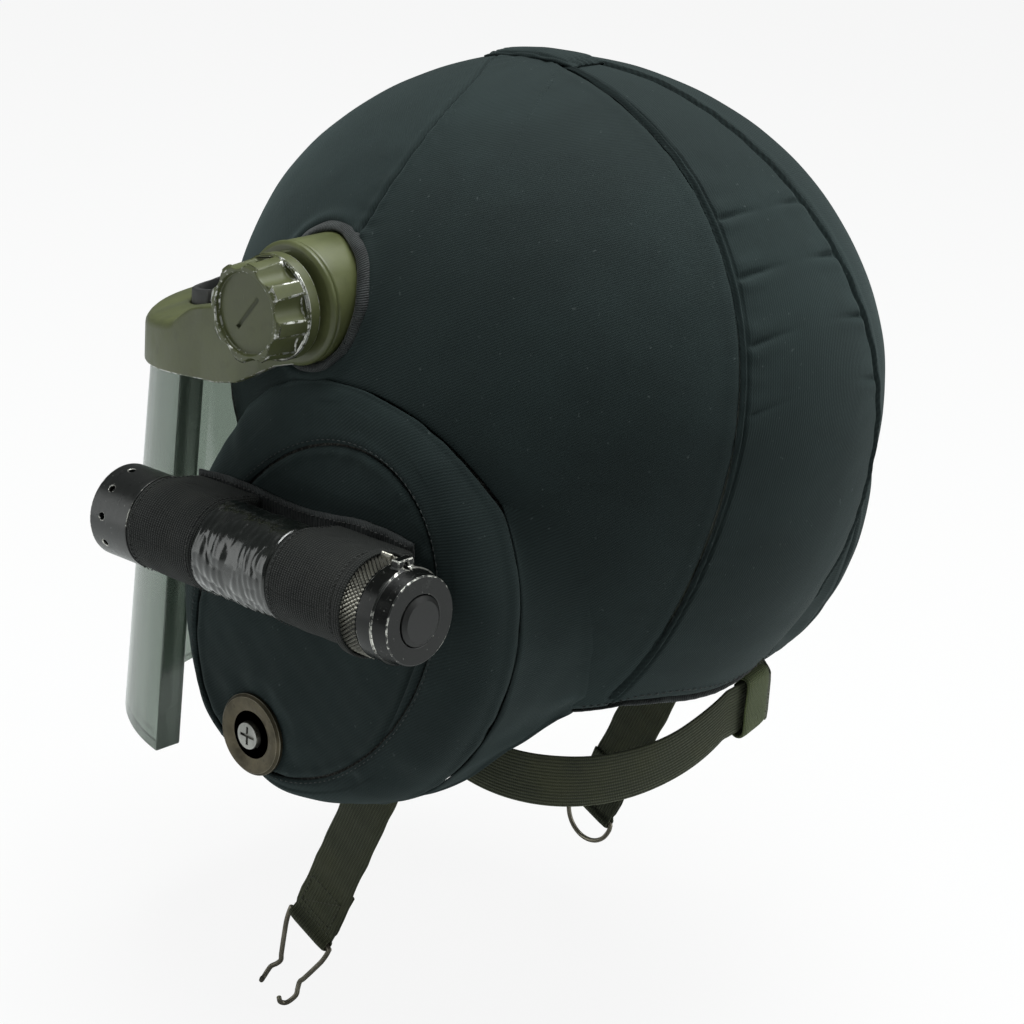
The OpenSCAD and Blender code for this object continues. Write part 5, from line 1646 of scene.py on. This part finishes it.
def chin_strap(side, sign):
    """A chin strap: down from its stud, round the wire that it carries and back up, sewn to itself."""
    stud, tail = 12.3, 30
    loop = WIRE_R + 0.3 + WEB_T / 2
    path = [(WEB_T / 2, z) for z in np.linspace(stud, -CHIN_L + 4.5, 60)]
    for a in np.linspace(50, -230, 24):
        path.append((WEB_T / 2 + loop * cosd(a) * 0.98, -CHIN_L + loop * sind(a)))
    path += [(-WEB_T / 2 - 0.05, z) for z in np.linspace(-CHIN_L + 5.5, -CHIN_L + tail, 16)]
    path = np.asarray(path)
    centres, across, normals, wide = [], [], [], []
    for (x, z), t in zip(path, unit(np.gradient(path, axis=0))):
        wave = 0.25 * math.sin(z * 0.21) + 0.15 * math.sin(z * 0.57 + 1)
        centres.append(lean_point(sign, x + (wave * 0.6 if -CHIN_L + 12 < z < -20 else 0), 0, z))
        across.append(lean_point(sign, x, 1, z) - lean_point(sign, x, 0, z))
        normals.append(lean_point(sign, x - t[1], 0, z + t[0]) - lean_point(sign, x, 0, z))
        full = math.sqrt(max(1.2, (WEB_W / 2) ** 2 - z * z)) * 2 if z > 0 else WEB_W
        wide.append(min(full, WEB_W) - (0.9 if z < -CHIN_L + 6 else 0) + 0.35 * math.sin(z * 0.33))
    node = "chin_strap_" + side
    mesh = strap_mesh(node + "_web", np.array(centres), across, normals, wide, WEB_T)
    web = webbing("chin_webbing", "webbing")
    piece = make_piece(node + "_web", mesh, web, "chin_" + side, node)

    a, low = WEB_W / 2 - 3.0, -CHIN_L + 9
    high = low + 15
    corners = [(-a, low), (a, low), (a, high), (-a, high), (-a, low), (a, high)]
    box = []
    for (y0, z0), (y1, z1) in zip(corners, corners[1:]):
        for t in np.linspace(0, 1, 16, endpoint=False):
            box.append(lean_point(sign, WEB_T + 0.12, y0 + (y1 - y0) * t, z0 + (z1 - z0) * t))
    bar = [lean_point(sign, WEB_T + 0.12, y, low - 3) for y in np.linspace(-a, a, 20)]
    olive_thread = thread("olive_thread", (0.05, 0.055, 0.03))
    stitched(node + "_stitches", [box, bar], "chin_" + side, 2.4, 1.8, 0.3, olive_thread)


def nape_strap():
    q = np.linspace(0, 180, 181)
    centres = np.concatenate([[[NAPE_RX, 0, NAPE_Z]], nape_spot(q), [[-NAPE_RX, 0, NAPE_Z]]])
    outs = np.concatenate([[[1.0, 0, 0]], nape_out(q), [[-1.0, 0, 0]]])
    wob = 0.5 * np.sin(np.linspace(0, 21, len(centres))) + 0.3 * np.sin(np.linspace(0, 50, len(centres)))
    up = np.tile([0.0, 0.0, 1.0], (len(centres), 1)) + outs * 0.05 * wob[:, None]
    centres[1:-1] += outs[1:-1] * 0.25 * wob[1:-1, None]
    mesh = strap_mesh("nape_strap_web", centres, up, outs, NAPE_W + 0.3 * wob, WEB_T)
    web = webbing("nape_webbing", "webbing")
    piece = make_piece("nape_strap_web", mesh, web, "helmet", "nape_strap")
    flat = (NAPE_W * MM, line_length(centres) * MM * 1.005)


def nape_keeper():
    c, n = nape_spot(np.array(KEEPER_Q)), nape_out(np.array(KEEPER_Q))
    along, up = np.array([n[1], -n[0], 0]), np.array([0, 0, 1])
    path = smooth_line(KEEPER_FOLD, 110)
    tangent = unit(np.gradient(path, axis=0))
    centres = np.array([c + n * a + up * b for a, b in path])
    normals = np.array([n * t[1] - up * t[0] for t in tangent])
    run = np.linspace(0, 1, len(path))
    wide = 20 - 1.2 * np.sin(run * 9) - 1.5 * hump(run, 1.0, 0.1)
    mesh = strap_mesh("nape_keeper_web", centres, np.tile(along, (len(path), 1)), normals, wide, 1.7)
    web = webbing("keeper_webbing", "keeper")
    piece = make_piece("nape_keeper_web", mesh, web, "helmet", "nape_keeper")
    flat = (0.02, line_length(centres) * MM * 1.005)


class HELMET_OT_weave_straps(bpy.types.Operator):
    """Weaves the chin straps, the nape strap and its keeper, and sews their folds"""

    bl_idname = "helmet.weave_straps"
    bl_label = "Weave straps"

    def execute(self, context):
        chin_strap("left", 1)
        chin_strap("right", -1)
        nape_strap()
        nape_keeper()
        return {"FINISHED"}


def bend_chin_wire(body, sign, points, closed):
    line = [lean_point(sign, WEB_T / 2 + x, y, -CHIN_L + z) for x, y, z in points]
    metal = worn_metal("wire_metal", (0.33, 0.3, 0.24), 0.36, 0.9, 0.5)
    bent_wire("chin_%s_wire" % body, line, WIRE_R, metal, body, "chin_" + body, closed)


class HELMET_OT_bend_wires(bpy.types.Operator):
    """Bends the wire hook and the wire ring at the ends of the chin straps"""

    bl_idname = "helmet.bend_wires"
    bl_label = "Bend wires"

    def execute(self, context):
        w = WEB_W / 2 + 0.8
        leg = [(0, w - 1, -0.3), (0, w, -1.6), (0, w - 0.6, -8), (0, w - 2.4, -15), (0, 8, -25), (0, 6.8, -28.4),
               (0.6, 7.6, -31.4), (1.8, 9, -34.4), (4.6, 8.2, -38.4), (7.4, 6.8, -38.2), (8.8, 6, -35.4)]
        hook = leg[::-1] + [(0, 4, 0), (0, -4, 0)] + [(x, -y, z) for x, y, z in leg]
        arc = [(0, w * cosd(a), -4 - 14 * sind(a)) for a in range(0, 181, 20)]
        start = [(0, 4, 0), (0, w - 1.6, 0), (0, w - 0.4, -1.2)]
        ring = start + arc + [(0, -y, z) for _, y, z in start[::-1]]
        round_trip = ring[-2:] + ring + ring[:3]
        steps = np.linspace(2, 2 + len(ring), 8 * len(ring), endpoint=False)
        bend_chin_wire("hook", 1, smooth_line(hook, 8 * len(hook)), False)
        bend_chin_wire("ring", -1, smooth_at(round_trip, steps), True)
        return {"FINISHED"}


# the torch's wraps


# The sleeves' hollow and outer radius, and their foot on the cup as seen from the torch's axis.
SLEEVE_IN, SLEEVE_OUT = TUBE_R + 0.3, TUBE_R + 0.3 + 1.4
FOOT_IN, FOOT_HALF = TORCH_X - DISC_X - 1.7, 16.5
FOOT_TURN = math.degrees(math.atan2(FOOT_HALF, FOOT_IN))
LEAVE_TURN = 180 - FOOT_TURN - math.degrees(math.acos(SLEEVE_OUT / math.hypot(FOOT_IN, FOOT_HALF)))


def torch_spot(x, y, up):
    """A point at x, y along the torch and up from its axis."""
    a = math.radians(TORCH_TILT)
    return np.stack([x, y * math.cos(a) - up * math.sin(a), TORCH_Z + y * math.sin(a) + up * math.cos(a)], -1)


def torch_point(y, r, t):
    """A point round the torch's axis: t is the turn from outward, towards up."""
    dx, dz = r * cosd(t), r * sind(t)
    return torch_spot(TORCH_X + dx, y, dz)


def sleeve(name, node, y0, y1, grid, reach, wave, material):
    """An open sleeve round the torch from y0 to y1, its outer reach given round the turn."""
    rows, cols = grid
    y, t = turns_round(np.linspace(y0, y1, rows)[:, None], cols)
    share = (y - y0) / (y1 - y0)
    rolled = 0.9 * (np.exp(-share * rows / 1.4) + np.exp(-(1 - share) * rows / 1.4))
    flare = 2.2 * np.clip((y - CAP_FRONT + 0.9) / 1.4, 0, 1)
    inside = SLEEVE_IN + flare
    outer = torch_point(y, np.maximum(reach(t) + wave(y, t) - rolled, inside + 1.0), t)
    flat = np.stack([y, np.radians(t) * 19.0], -1)
    mesh = sewn_shell(name, outer, torch_point(y, inside, t), flat, True)
    make_piece(name, mesh, material, "helmet", node)


def sleeve_reach(t):
    """How far a sleeve is from the torch's axis: round the tube, then straight to its foot on the cup."""
    a = off_zero(t)
    straight = SLEEVE_OUT / np.maximum(cosd(a - LEAVE_TURN), 0.2)
    flat = FOOT_IN / np.maximum(cosd(180 - a), 0.2)
    return np.where(a < LEAVE_TURN, SLEEVE_OUT, np.where(a < 180 - FOOT_TURN, straight, flat)) - 0.05


def sleeve_wave(seed):
    def wave(y, t):
        p = torch_point(y, SLEEVE_OUT, t)
        a = off_zero(t)
        free = np.clip((138 - a) / 30, 0, 1)
        return free * (0.25 * ripple(p, 16, seed) + 0.3 * hump(a, LEAVE_TURN + 6, 12) * ripple(p, 9, seed + 1))

    return wave


def tape_reach(t):
    return SLEEVE_IN + 1.1


def tape_wave(y, t):
    """The wound tape's turns and ridges, gathered in the middle."""
    p = torch_point(y, SLEEVE_OUT, t)
    gather = hump(y, (BAND_FRONT_Y + BAND_W + BAND_REAR_Y) / 2 + 3 * sind(t * 2), 3.0)
    ridges = np.abs(ripple(p, 13, 91)) ** 0.8 * 0.5 - 0.2
    turns = 0.09 * np.sin(y * 2 * math.pi / 3.6 + np.radians(t) + ripple(p, 14, 92))
    free = np.clip((140 - off_zero(t)) / 25, 0.12, 1)
    return (0.25 + ridges + turns - 1.0 * gather * (0.5 + 0.5 * sind(t * 3 + 40))) * free


def torch_backing():
    v, u = square_grid(20, 120)
    u = np.broadcast_to(np.linspace(0, 1, 120)[None], u.shape)
    y = mix(BAND_FRONT_Y - 0.5, BAND_REAR_Y + BAND_W + 3.0, u)
    high = 18.5 + 1.2 * np.sin(u * 9) + 2.0 * hump(u, 0.75, 0.2)
    up = np.where(v > 0, v * high, v * FOOT_HALF)
    pleat = np.clip(np.abs(up) - 16, 0, 3) * (0.4 + 0.3 * np.sin(u * 40))
    lift = 1.15 - 0.5 * hump(1 - np.abs(v), 0.0, 0.06) + 0.5 * pleat
    top = torch_spot(DISC_X + 0.32 + lift, y, up)
    under = top.copy()
    under[..., 0] = DISC_X + 0.3 + np.clip(lift - 1.2, 0, None)
    mesh = sewn_shell("torch_backing_cloth", top, under, np.stack([y, up], -1))
    make_piece("torch_backing_cloth", mesh, binding_cloth(), "helmet", "torch_backing")
    rows = [[top[k, j] + [0.2, 0, 0] for j in range(2, 118, 2)] for k in (1, 18)]
    stitched("torch_backing_stitches", rows, "helmet", 2.6, 1.8, 0.28, black_thread())


def lanyard():
    pts = []
    for k in range(150):
        a = k * 20
        pts.append(torch_point(BAND_REAR_Y + BAND_W + 4.0 + k * 0.035, 19.4 + 1.5 * cosd(a), 96 + 5.5 * sind(a) / 2))
    bent_wire("lanyard_wire", pts, 0.33, worn_metal("pale_wire", (0.7, 0.68, 0.6), 0.3, 0.9, 0.2), "torch_cap")


def cap_knurl():
    around, seeds, ups = 66, [], []
    for row in range(9):
        y = CAP_FRONT + 1.2 + row * 1.2
        for k in range(around):
            t = (k + 0.5 * (row % 2)) * 360 / around
            seeds.append(torch_point(y, 18.75, t))
            ups.append(unit(seeds[-1] - torch_point(y, 0.0, t)))
    metal = worn_metal("knurl_metal", (0.34, 0.33, 0.29), 0.34, 0.95, 0.7)
    values = {"Point Width": 0.86 * MM, "Point Height": 0.75 * MM, "Knurl Finish": metal}
    mesh = path_mesh("torch_knurl", [[p] for p in seeds], normals=ups)
    outward(grown("torch_knurl", mesh, knurl_tree(), values, "torch_cap").data)


class HELMET_OT_wrap_torch(bpy.types.Operator):
    """Wraps the torch in two elastic sleeves, wound tape and a lanyard wire, on a sewn backing"""

    bl_idname = "helmet.wrap_torch"
    bl_label = "Wrap torch"

    def execute(self, context):
        rows = []
        for end, y0, long, seed in (("front", BAND_FRONT_Y, BAND_W, 81), ("rear", BAND_REAR_Y, BAND_W + 4.6, 85)):
            node = "torch_band_" + end
            wave = sleeve_wave(seed)
            sleeve("torch_sleeve_" + end, node, y0, y0 + long, (60, 200), sleeve_reach, wave, elastic())
            for y in (y0 + 2.2, y0 + BAND_W - 2.2):
                rows.append([torch_point(y, sleeve_reach(t) + 0.25, t) for t in np.arange(-130.0, 131.0, 3.0)])
        stitched("torch_sleeve_stitches", rows, "helmet", 2.2, 1.5, 0.26, black_thread())
        y0, y1 = BAND_FRONT_Y + BAND_W + 0.3, BAND_REAR_Y - 0.3
        sleeve("torch_tape_wound", "torch_tape", y0, y1, (110, 260), tape_reach, tape_wave, gloss_tape())
        torch_backing()
        lanyard()
        cap_knurl()
        return {"FINISHED"}


# Faces that meet at less than this are one flat face.
FLAT_ANGLE = math.radians(0.6)


def round_edges(part, width, limit, clamp, finish):
    """Rounds a part's edges, in their own finish where its index is given."""
    edges = part.modifiers.new("edges", "BEVEL")
    edges.width = width * MM
    edges.segments = 2
    edges.limit_method = limit
    edges.use_clamp_overlap = clamp
    edges.material = finish
    return edges


def even_normals(part, weight):
    normals = part.modifiers.new("normals", "WEIGHTED_NORMAL")
    normals.keep_sharp = True
    normals.weight = weight


# carried-over metal and glass


def dress(node, material, bevel, edge=None, clamp=False):
    """Gives a carried-over node its finish, softly rounded edges and, where edge is given, a worn edge finish."""
    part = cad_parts[node]
    part.data.materials.clear()
    part.data.materials.append(material)
    if edge is not None:
        part.data.materials.append(edge)
    count = len(part.data.polygons)
    part.data.polygons.foreach_set("material_index", [0] * count)
    part.data.polygons.foreach_set("use_smooth", [True] * count)
    weld = part.modifiers.new("weld", "WELD")
    weld.merge_threshold = 1e-5
    if bevel:
        flat = part.modifiers.new("flat", "DECIMATE")
        flat.decimate_type = "DISSOLVE"
        flat.angle_limit = FLAT_ANGLE
        edges = round_edges(part, bevel, "ANGLE", clamp or edge is None, 1 if edge is not None else -1)
        edges.angle_limit = math.radians(32)
    even_normals(part, 60)


class HELMET_OT_finish_shell(bpy.types.Operator):
    """Paints the pressed shell and its ear plates"""

    bl_idname = "helmet.finish_shell"
    bl_label = "Finish shell"

    def execute(self, context):
        for node in ("shell", "ear_plate_left", "ear_plate_right"):
            dress(node, shell_paint(), 0)
        return {"FINISHED"}


def turned(name, sign, profile_at, body, material):
    """A ring turned round the pivot from a profile of (x, radius) points, which may change with the turn."""
    rings = []
    for a in np.arange(0, 360, 3.0):
        rings.append([(sign * x, PIVOT_Y + r * cosd(a), PIVOT_Z + r * sind(a)) for x, r in profile_at(a)])
    make_piece(name, swept(name, rings, closed=True), material, body, None)


def lug_profile(a):
    """The bow's round lug: a dished face, a rolled rim and its back."""
    face, rim = KNOB_X - 0.3, COLLAR_R + 0.3
    dish = [(face, 9.5), (face, 12.5), (face - 3.0, 14.5), (face - 3.0, 23.0), (face - 4.0, rim)]
    corners = dish + [(127.45, rim), (127.3, 9.5)]
    return section(corners, (0.2, 0.3, 0.5, 0.5, 1.0, 0.5, 0.2))


def collar_profile(a):
    """The collar that the lug turns on, from its lip down to the dome at the turn a."""
    foot = float(half_width(PIVOT_Y + COLLAR_R * cosd(a), PIVOT_Z + COLLAR_R * sind(a))) - 1.6
    lip = [(127.0, 13.0), (127.0, COLLAR_R - 0.9), (126.1, COLLAR_R)]
    corners = lip + [(foot, COLLAR_R), (foot, 18.2), (124.4, 17.4), (125.5, 13.0)]
    return section(corners, (0.2, 0.8, 0.5, 0.3, 0.3, 0.2, 0.2))


def section(corners, radii, steps=5):
    """A cross-section with rounded corners, from its corner points in order."""
    pts = np.asarray(corners, float)
    ring = []
    for k, radius in enumerate(radii):
        here, before, after = pts[k], pts[k - 1], pts[(k + 1) % len(pts)]
        a, b = before - here, after - here
        la, lb = np.linalg.norm(a), np.linalg.norm(b)
        cut = min(radius, 0.45 * la, 0.45 * lb)
        p, q = here + a / la * cut, here + b / lb * cut
        for t in np.linspace(0, 1, steps):
            ring.append((1 - t) ** 2 * p + 2 * t * (1 - t) * here + t**2 * q)
    return ring


BOW_R, BOW_X, BOW_Y, BOW_T, ARM_T = 92.0, 35.8, -76.0, 18.8, 5.8
ARM_LOW = [(-190, -22), (-168, -20.5), (-144, -17.5), (-117, -12.5), (-87, -7), (-66, -4), (-52, 0), (-40, 6.5),
           (-30, 12.5), (-20, 15.8)]
ARM_TOP = [(-190, 4), (-168, 5.5), (-144, 8), (-117, 14), (-95, 20), (-66, 29), (-52, 39), (-44, 47), (-36, 55),
           (-28, 61), (-20, 64)]
ARM_OUT = [(-76, 0), (-62, 2.0), (-50, 3.6), (-38, 4.2), (-28, 2.8), (-20, 1.8)]


def visor_bow():
    """Both arms and the round front, from points with their outward directions and a section at each."""
    path = [(BOW_X + BOW_R, y, 1.0, 0.0) for y in np.linspace(-20, BOW_Y, 40, endpoint=False)]
    for a in np.linspace(0, 90, 60, endpoint=False):
        path.append((BOW_X + BOW_R * cosd(a), BOW_Y - BOW_R * sind(a), cosd(a), -sind(a)))
    path += [(x, BOW_Y - BOW_R, 0.0, -1.0) for x in np.linspace(BOW_X, 0, 12)]
    path += [(-x, y, -nx, ny) for x, y, nx, ny in path[-2::-1]]
    rings = []
    for x, y, nx, ny in path:
        low, top = float(lookup(y, ARM_LOW)), float(lookup(y, ARM_TOP))
        out = float(lookup(y, ARM_OUT)) if y > BOW_Y else 0.0
        heavy = float(np.clip((-82 - y) / 16, 0, 1)) ** 1.3
        thick = mix(ARM_T, BOW_T, heavy) - (1.8 if y > -28 else 0)
        if y > -50:
            thick = min(thick, BOW_X + BOW_R + out - 127.4 + 0.2 * max(0.0, -38 - y))
        soft = mix(1.2, 3.6, heavy)
        corners = [(out, low), (out, top - mix(0.8, 6.5, heavy)), (out - thick, top), (out - thick, low)]
        rings.append([(x + nx * u, y + ny * u, z) for u, z in section(corners, (1.1, soft, soft * 0.6, 1.0))])
    mesh = swept("visor_bow", rings)
    mesh.materials.append(olive_paint(1.0))
    mesh.materials.append(chipped_edge(1.0, 0.6))
    middles = [np.mean([mesh.vertices[i].co for i in poly.vertices], axis=0) for poly in mesh.polygons]
    centre = np.array(middles) / MM
    worn = centre[:, 2] < lookup(centre[:, 1], ARM_LOW) + 0.45
    mesh.polygons.foreach_set("material_index", worn.astype(int).tolist())
    make_piece("visor_bow", mesh, None, "visor", "visor_frame")


def grip_knob(side, turn):
    """A knob as it stands in the photograph, turned about its own bolt."""
    name = "grip_knob_" + side
    hub, rim, slot_depth = 11, 12.5, 0.3
    work = welded(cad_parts["clamp_knob_" + side].data)
    spin = Matrix.Rotation(math.radians(turn), 3, "X")
    bmesh.ops.rotate(work, cent=(0, PIVOT_Y * MM, PIVOT_Z * MM), matrix=spin, verts=work.verts)
    bmesh.ops.dissolve_limit(work, angle_limit=FLAT_ANGLE, verts=work.verts, edges=work.edges)
    off = {v: math.hypot(v.co.y / MM - PIVOT_Y, v.co.z / MM - PIVOT_Z) for v in work.verts}
    face = max(abs(v.co.x) for v in work.verts if off[v] < hub) / MM
    worn = work.edges.layers.float.new("bevel_weight_edge")
    for e in work.edges:
        sharp = e.is_manifold and e.calc_face_angle(0) > math.radians(30)
        e[worn] = 1.0 if sharp and min(off[v] for v in e.verts) > rim else 0.0
    # Faces sunk in the hub's slot take the third finish, a near-black rubber.
    for poly in work.faces:
        sunk = min(abs(v.co.x) / MM for v in poly.verts) < face - slot_depth
        poly.material_index = 2 if sunk and all(off[v] < hub for v in poly.verts) else 0
    mesh = shut(work, bpy.data.meshes.new(name))
    mesh.polygons.foreach_set("use_smooth", [True] * len(mesh.polygons))
    knob = make_piece(name, mesh, olive_paint(0.92), "knob_" + side, "clamp_knob_" + side)
    mesh.materials.append(chipped_edge(0.92, 0.55))
    # The slot's sunk faces are near black.
    mesh.materials.append(rubber("slot_grime", 0.006, 0.8))
    round_edges(knob, 0.6, "WEIGHT", False, 1)
    even_normals(knob, 50)


class HELMET_OT_forge_bow(bpy.types.Operator):
    """Forges the visor's bow with its two arms and round lugs, and the collars that they turn on"""

    bl_idname = "helmet.forge_bow"
    bl_label = "Forge bow"

    def execute(self, context):
        visor_bow()
        for side, sign in SIDES:
            turned("visor_lug_" + side, sign, lug_profile, "visor", olive_paint(1.0))
            turned("pivot_collar_" + side, sign, collar_profile, "helmet", olive_paint(1.05))
        grip_knob("left", -75.0)
        grip_knob("right", 40.0)
        return {"FINISHED"}


class HELMET_OT_finish_visor(bpy.types.Operator):
    """Paints the housings and fixings, and clears the thick pane"""

    bl_idname = "helmet.finish_visor"
    bl_label = "Finish visor"

    def execute(self, context):
        worn = chipped_edge(1.0, 0.45)
        for side, _ in SIDES:
            dress("pivot_housing_" + side, olive_paint(1.05), 0.6, worn)
            dress("pivot_bolt_" + side, bolt_steel(), 0.3)
            dress("friction_washer_" + side, rubber("washer_black", 0.02, 0.5), 0.2)
        dress("glass_retainer", olive_paint(0.9), 0.4, worn)
        dress("retainer_screws", bolt_steel(), 0.15)
        dress("visor_seal", rubber("seal_rubber", 0.03, 0.6), 0)
        dress("visor_glass", visor_clear(), 0.8)
        return {"FINISHED"}


class HELMET_OT_finish_torch(bpy.types.Operator):
    """Blackens the torch's tube, head and cap and clears its window"""

    bl_idname = "helmet.finish_torch"
    bl_label = "Finish torch"

    def execute(self, context):
        black = black_anodised("torch_black", 0.008, 0.3, 1.0)
        dress("torch_tube", black, 0.3, black_chipped())
        dress("torch_head", black, 0.35, black_chipped())
        dress("torch_tailcap", black_anodised("cap_black", 0.004, 0.24, 0.4), 0.5, black_chipped())
        dress("torch_button", rubber("button_rubber", 0.006, 0.45), 0.6)
        dress("torch_lens", lamp_window(), 0.2)
        dress("torch_reflector", mirror_cone(), 0)
        dress("torch_bulb", worn_metal("bulb_metal", (0.8, 0.75, 0.6), 0.2, 1.0, 0.2), 0)
        dress("torch_cells", cell_wrap(), 0.3)
        dress("torch_spring", bolt_steel(), 0)
        return {"FINISHED"}


class HELMET_OT_finish_fixings(bpy.types.Operator):
    """Finishes the cup washers, screws and strap anchors"""

    bl_idname = "helmet.finish_fixings"
    bl_label = "Finish fixings"

    def execute(self, context):
        plate = worn_metal("washer_plate", (0.105, 0.088, 0.055), 0.42, 0.7, 0.5)
        rubbed = worn_metal("washer_rubbed", (0.36, 0.33, 0.26), 0.34, 0.9, 0.5)
        dress("cup_washers", plate, 0.45, rubbed, clamp=True)
        dress("cup_screws", worn_metal("screw_silver", (0.36, 0.36, 0.34), 0.3, 1.0, 0.4), 0.25)
        dress("strap_anchors", worn_metal("anchor_metal", (0.45, 0.43, 0.38), 0.35, 1.0, 0.4), 0.25)
        return {"FINISHED"}


class HELMET_OT_stitch_seams(bpy.types.Operator):
    """Sews rows of stitches beside the cup rings and the brow and nape hems"""

    bl_idname = "helmet.stitch_seams"
    bl_label = "Stitch seams"

    def execute(self, context):
        pitch = sizes().stitch_pitch / MM
        navy = thread("navy_thread", (0.009, 0.014, 0.014))
        q = np.arange(0, 360, 2.0)
        ring = ring_point(q, np.full(q.shape, 0.055)) + [0.9, 0, 0]
        stitched("cup_stitches", [ring, mirrored(ring)], "helmet", pitch, 1.9, 0.2, navy, True)
        w = np.sin(np.linspace(-1.45, 1.45, 200))
        brow = dome_point(w, BROW_TURN - 3.2 + 0 * w)
        w = np.sin(np.linspace(-1.4, 1.4, 160)) * 0.98
        nape = dome_point(w * 0.92, nape_turn(w * NAPE_X) + 3.0)
        rows = [p + dome_out(p) * 0.45 for p in (brow, nape)]
        stitched("hem_stitches", rows, "helmet", pitch, 2.0, 0.24, navy)
        return {"FINISHED"}


COLOUR = {"subtype": "COLOR", "size": 3, "min": 0, "max": 1}


# the add-on's own face


class HelmetColours(bpy.types.PropertyGroup):
    """Colours a maker would change"""

    cover: bpy.props.FloatVectorProperty(
        name="Cover cloth", description="Base colour of the navy cover", default=(0.0125, 0.0205, 0.0205), **COLOUR
    )
    olive: bpy.props.FloatVectorProperty(
        name="Olive paint", description="Base colour of the bow and knobs", default=(0.096, 0.107, 0.042), **COLOUR
    )
    pane: bpy.props.FloatVectorProperty(
        name="Pane", description="Tint of the thick clear pane", default=(0.24, 0.3, 0.25), **COLOUR
    )
    webbing: bpy.props.FloatVectorProperty(
        name="Webbing", description="Base colour of the straps", default=(0.027, 0.032, 0.014), **COLOUR
    )
    keeper: bpy.props.FloatVectorProperty(
        name="Keeper", description="Base colour of the nape keeper", default=(0.065, 0.085, 0.028), **COLOUR
    )


class HelmetSizes(bpy.types.PropertyGroup):
    """Sizes a maker would change"""

    twill_pitch: bpy.props.FloatProperty(
        name="Twill pitch", description="Distance between the cover's diagonal ribs",
        unit="LENGTH", default=0.0011, min=0.0004, max=0.004
    )
    web_rib: bpy.props.FloatProperty(
        name="Webbing rib", description="Distance between the straps' lengthwise ribs",
        unit="LENGTH", default=0.0014, min=0.0004, max=0.004
    )
    piping: bpy.props.FloatProperty(
        name="Piping height", description="How far the rear seam's bead stands, in millimetres",
        default=1.3, min=0, max=3
    )
    gather: bpy.props.FloatProperty(
        name="Crown gathers", description="Height of the folds round the crest, in millimetres",
        default=0.35, min=0, max=1.5
    )
    pad_thickness: bpy.props.FloatProperty(
        name="Pad thickness", description="How thick the liner's pads are",
        unit="LENGTH", default=0.019, min=0.005, max=0.024
    )
    stitch_pitch: bpy.props.FloatProperty(
        name="Stitch pitch", description="Distance between stitches of the seams",
        unit="LENGTH", default=0.003, min=0.0015, max=0.008
    )
    key_power: bpy.props.FloatProperty(
        name="Key light", description="Power of the main softbox", unit="POWER", default=11.5, min=0, max=400
    )
    surround: bpy.props.FloatProperty(
        name="Surround", description="Strength of the pale surroundings", default=0.12, min=0, max=2
    )


STEPS = [
    HELMET_OT_place_camera, HELMET_OT_sew_cover, HELMET_OT_sew_ear_cups, HELMET_OT_bind_edges, HELMET_OT_sew_crest,
    HELMET_OT_fill_liner, HELMET_OT_weave_straps, HELMET_OT_bend_wires, HELMET_OT_wrap_torch, HELMET_OT_stitch_seams,
    HELMET_OT_forge_bow, HELMET_OT_finish_shell, HELMET_OT_finish_visor, HELMET_OT_finish_torch,
    HELMET_OT_finish_fixings, HELMET_OT_set_stage,
]


class HELMET_PT_dresser(bpy.types.Panel):
    """Lists the helmet's making, piece by piece"""

    bl_idname = "HELMET_PT_dresser"
    bl_label = "Helmet Dresser"
    bl_space_type = "VIEW_3D"
    bl_region_type = "UI"
    bl_category = "Helmet"

    def draw(self, context):
        layout = self.layout
        for group in (context.scene.helmet_sizes, context.scene.helmet_colours):
            box = layout.box()
            for key in type(group).__annotations__:
                box.prop(group, key)
        for step in STEPS:
            layout.operator(step.bl_idname)


CLASSES = [HelmetColours, HelmetSizes, *STEPS, HELMET_PT_dresser]


def register():
    for item in CLASSES:
        bpy.utils.register_class(item)
    bpy.types.Scene.helmet_colours = bpy.props.PointerProperty(type=HelmetColours)
    bpy.types.Scene.helmet_sizes = bpy.props.PointerProperty(type=HelmetSizes)


def unregister():
    del bpy.types.Scene.helmet_sizes
    del bpy.types.Scene.helmet_colours
    for item in reversed(CLASSES):
        bpy.utils.unregister_class(item)


def main():
    register()
    for step in STEPS:
        group, name = step.bl_idname.split(".")
        getattr(getattr(bpy.ops, group), name)()


if __name__ == "__main__":
    main()
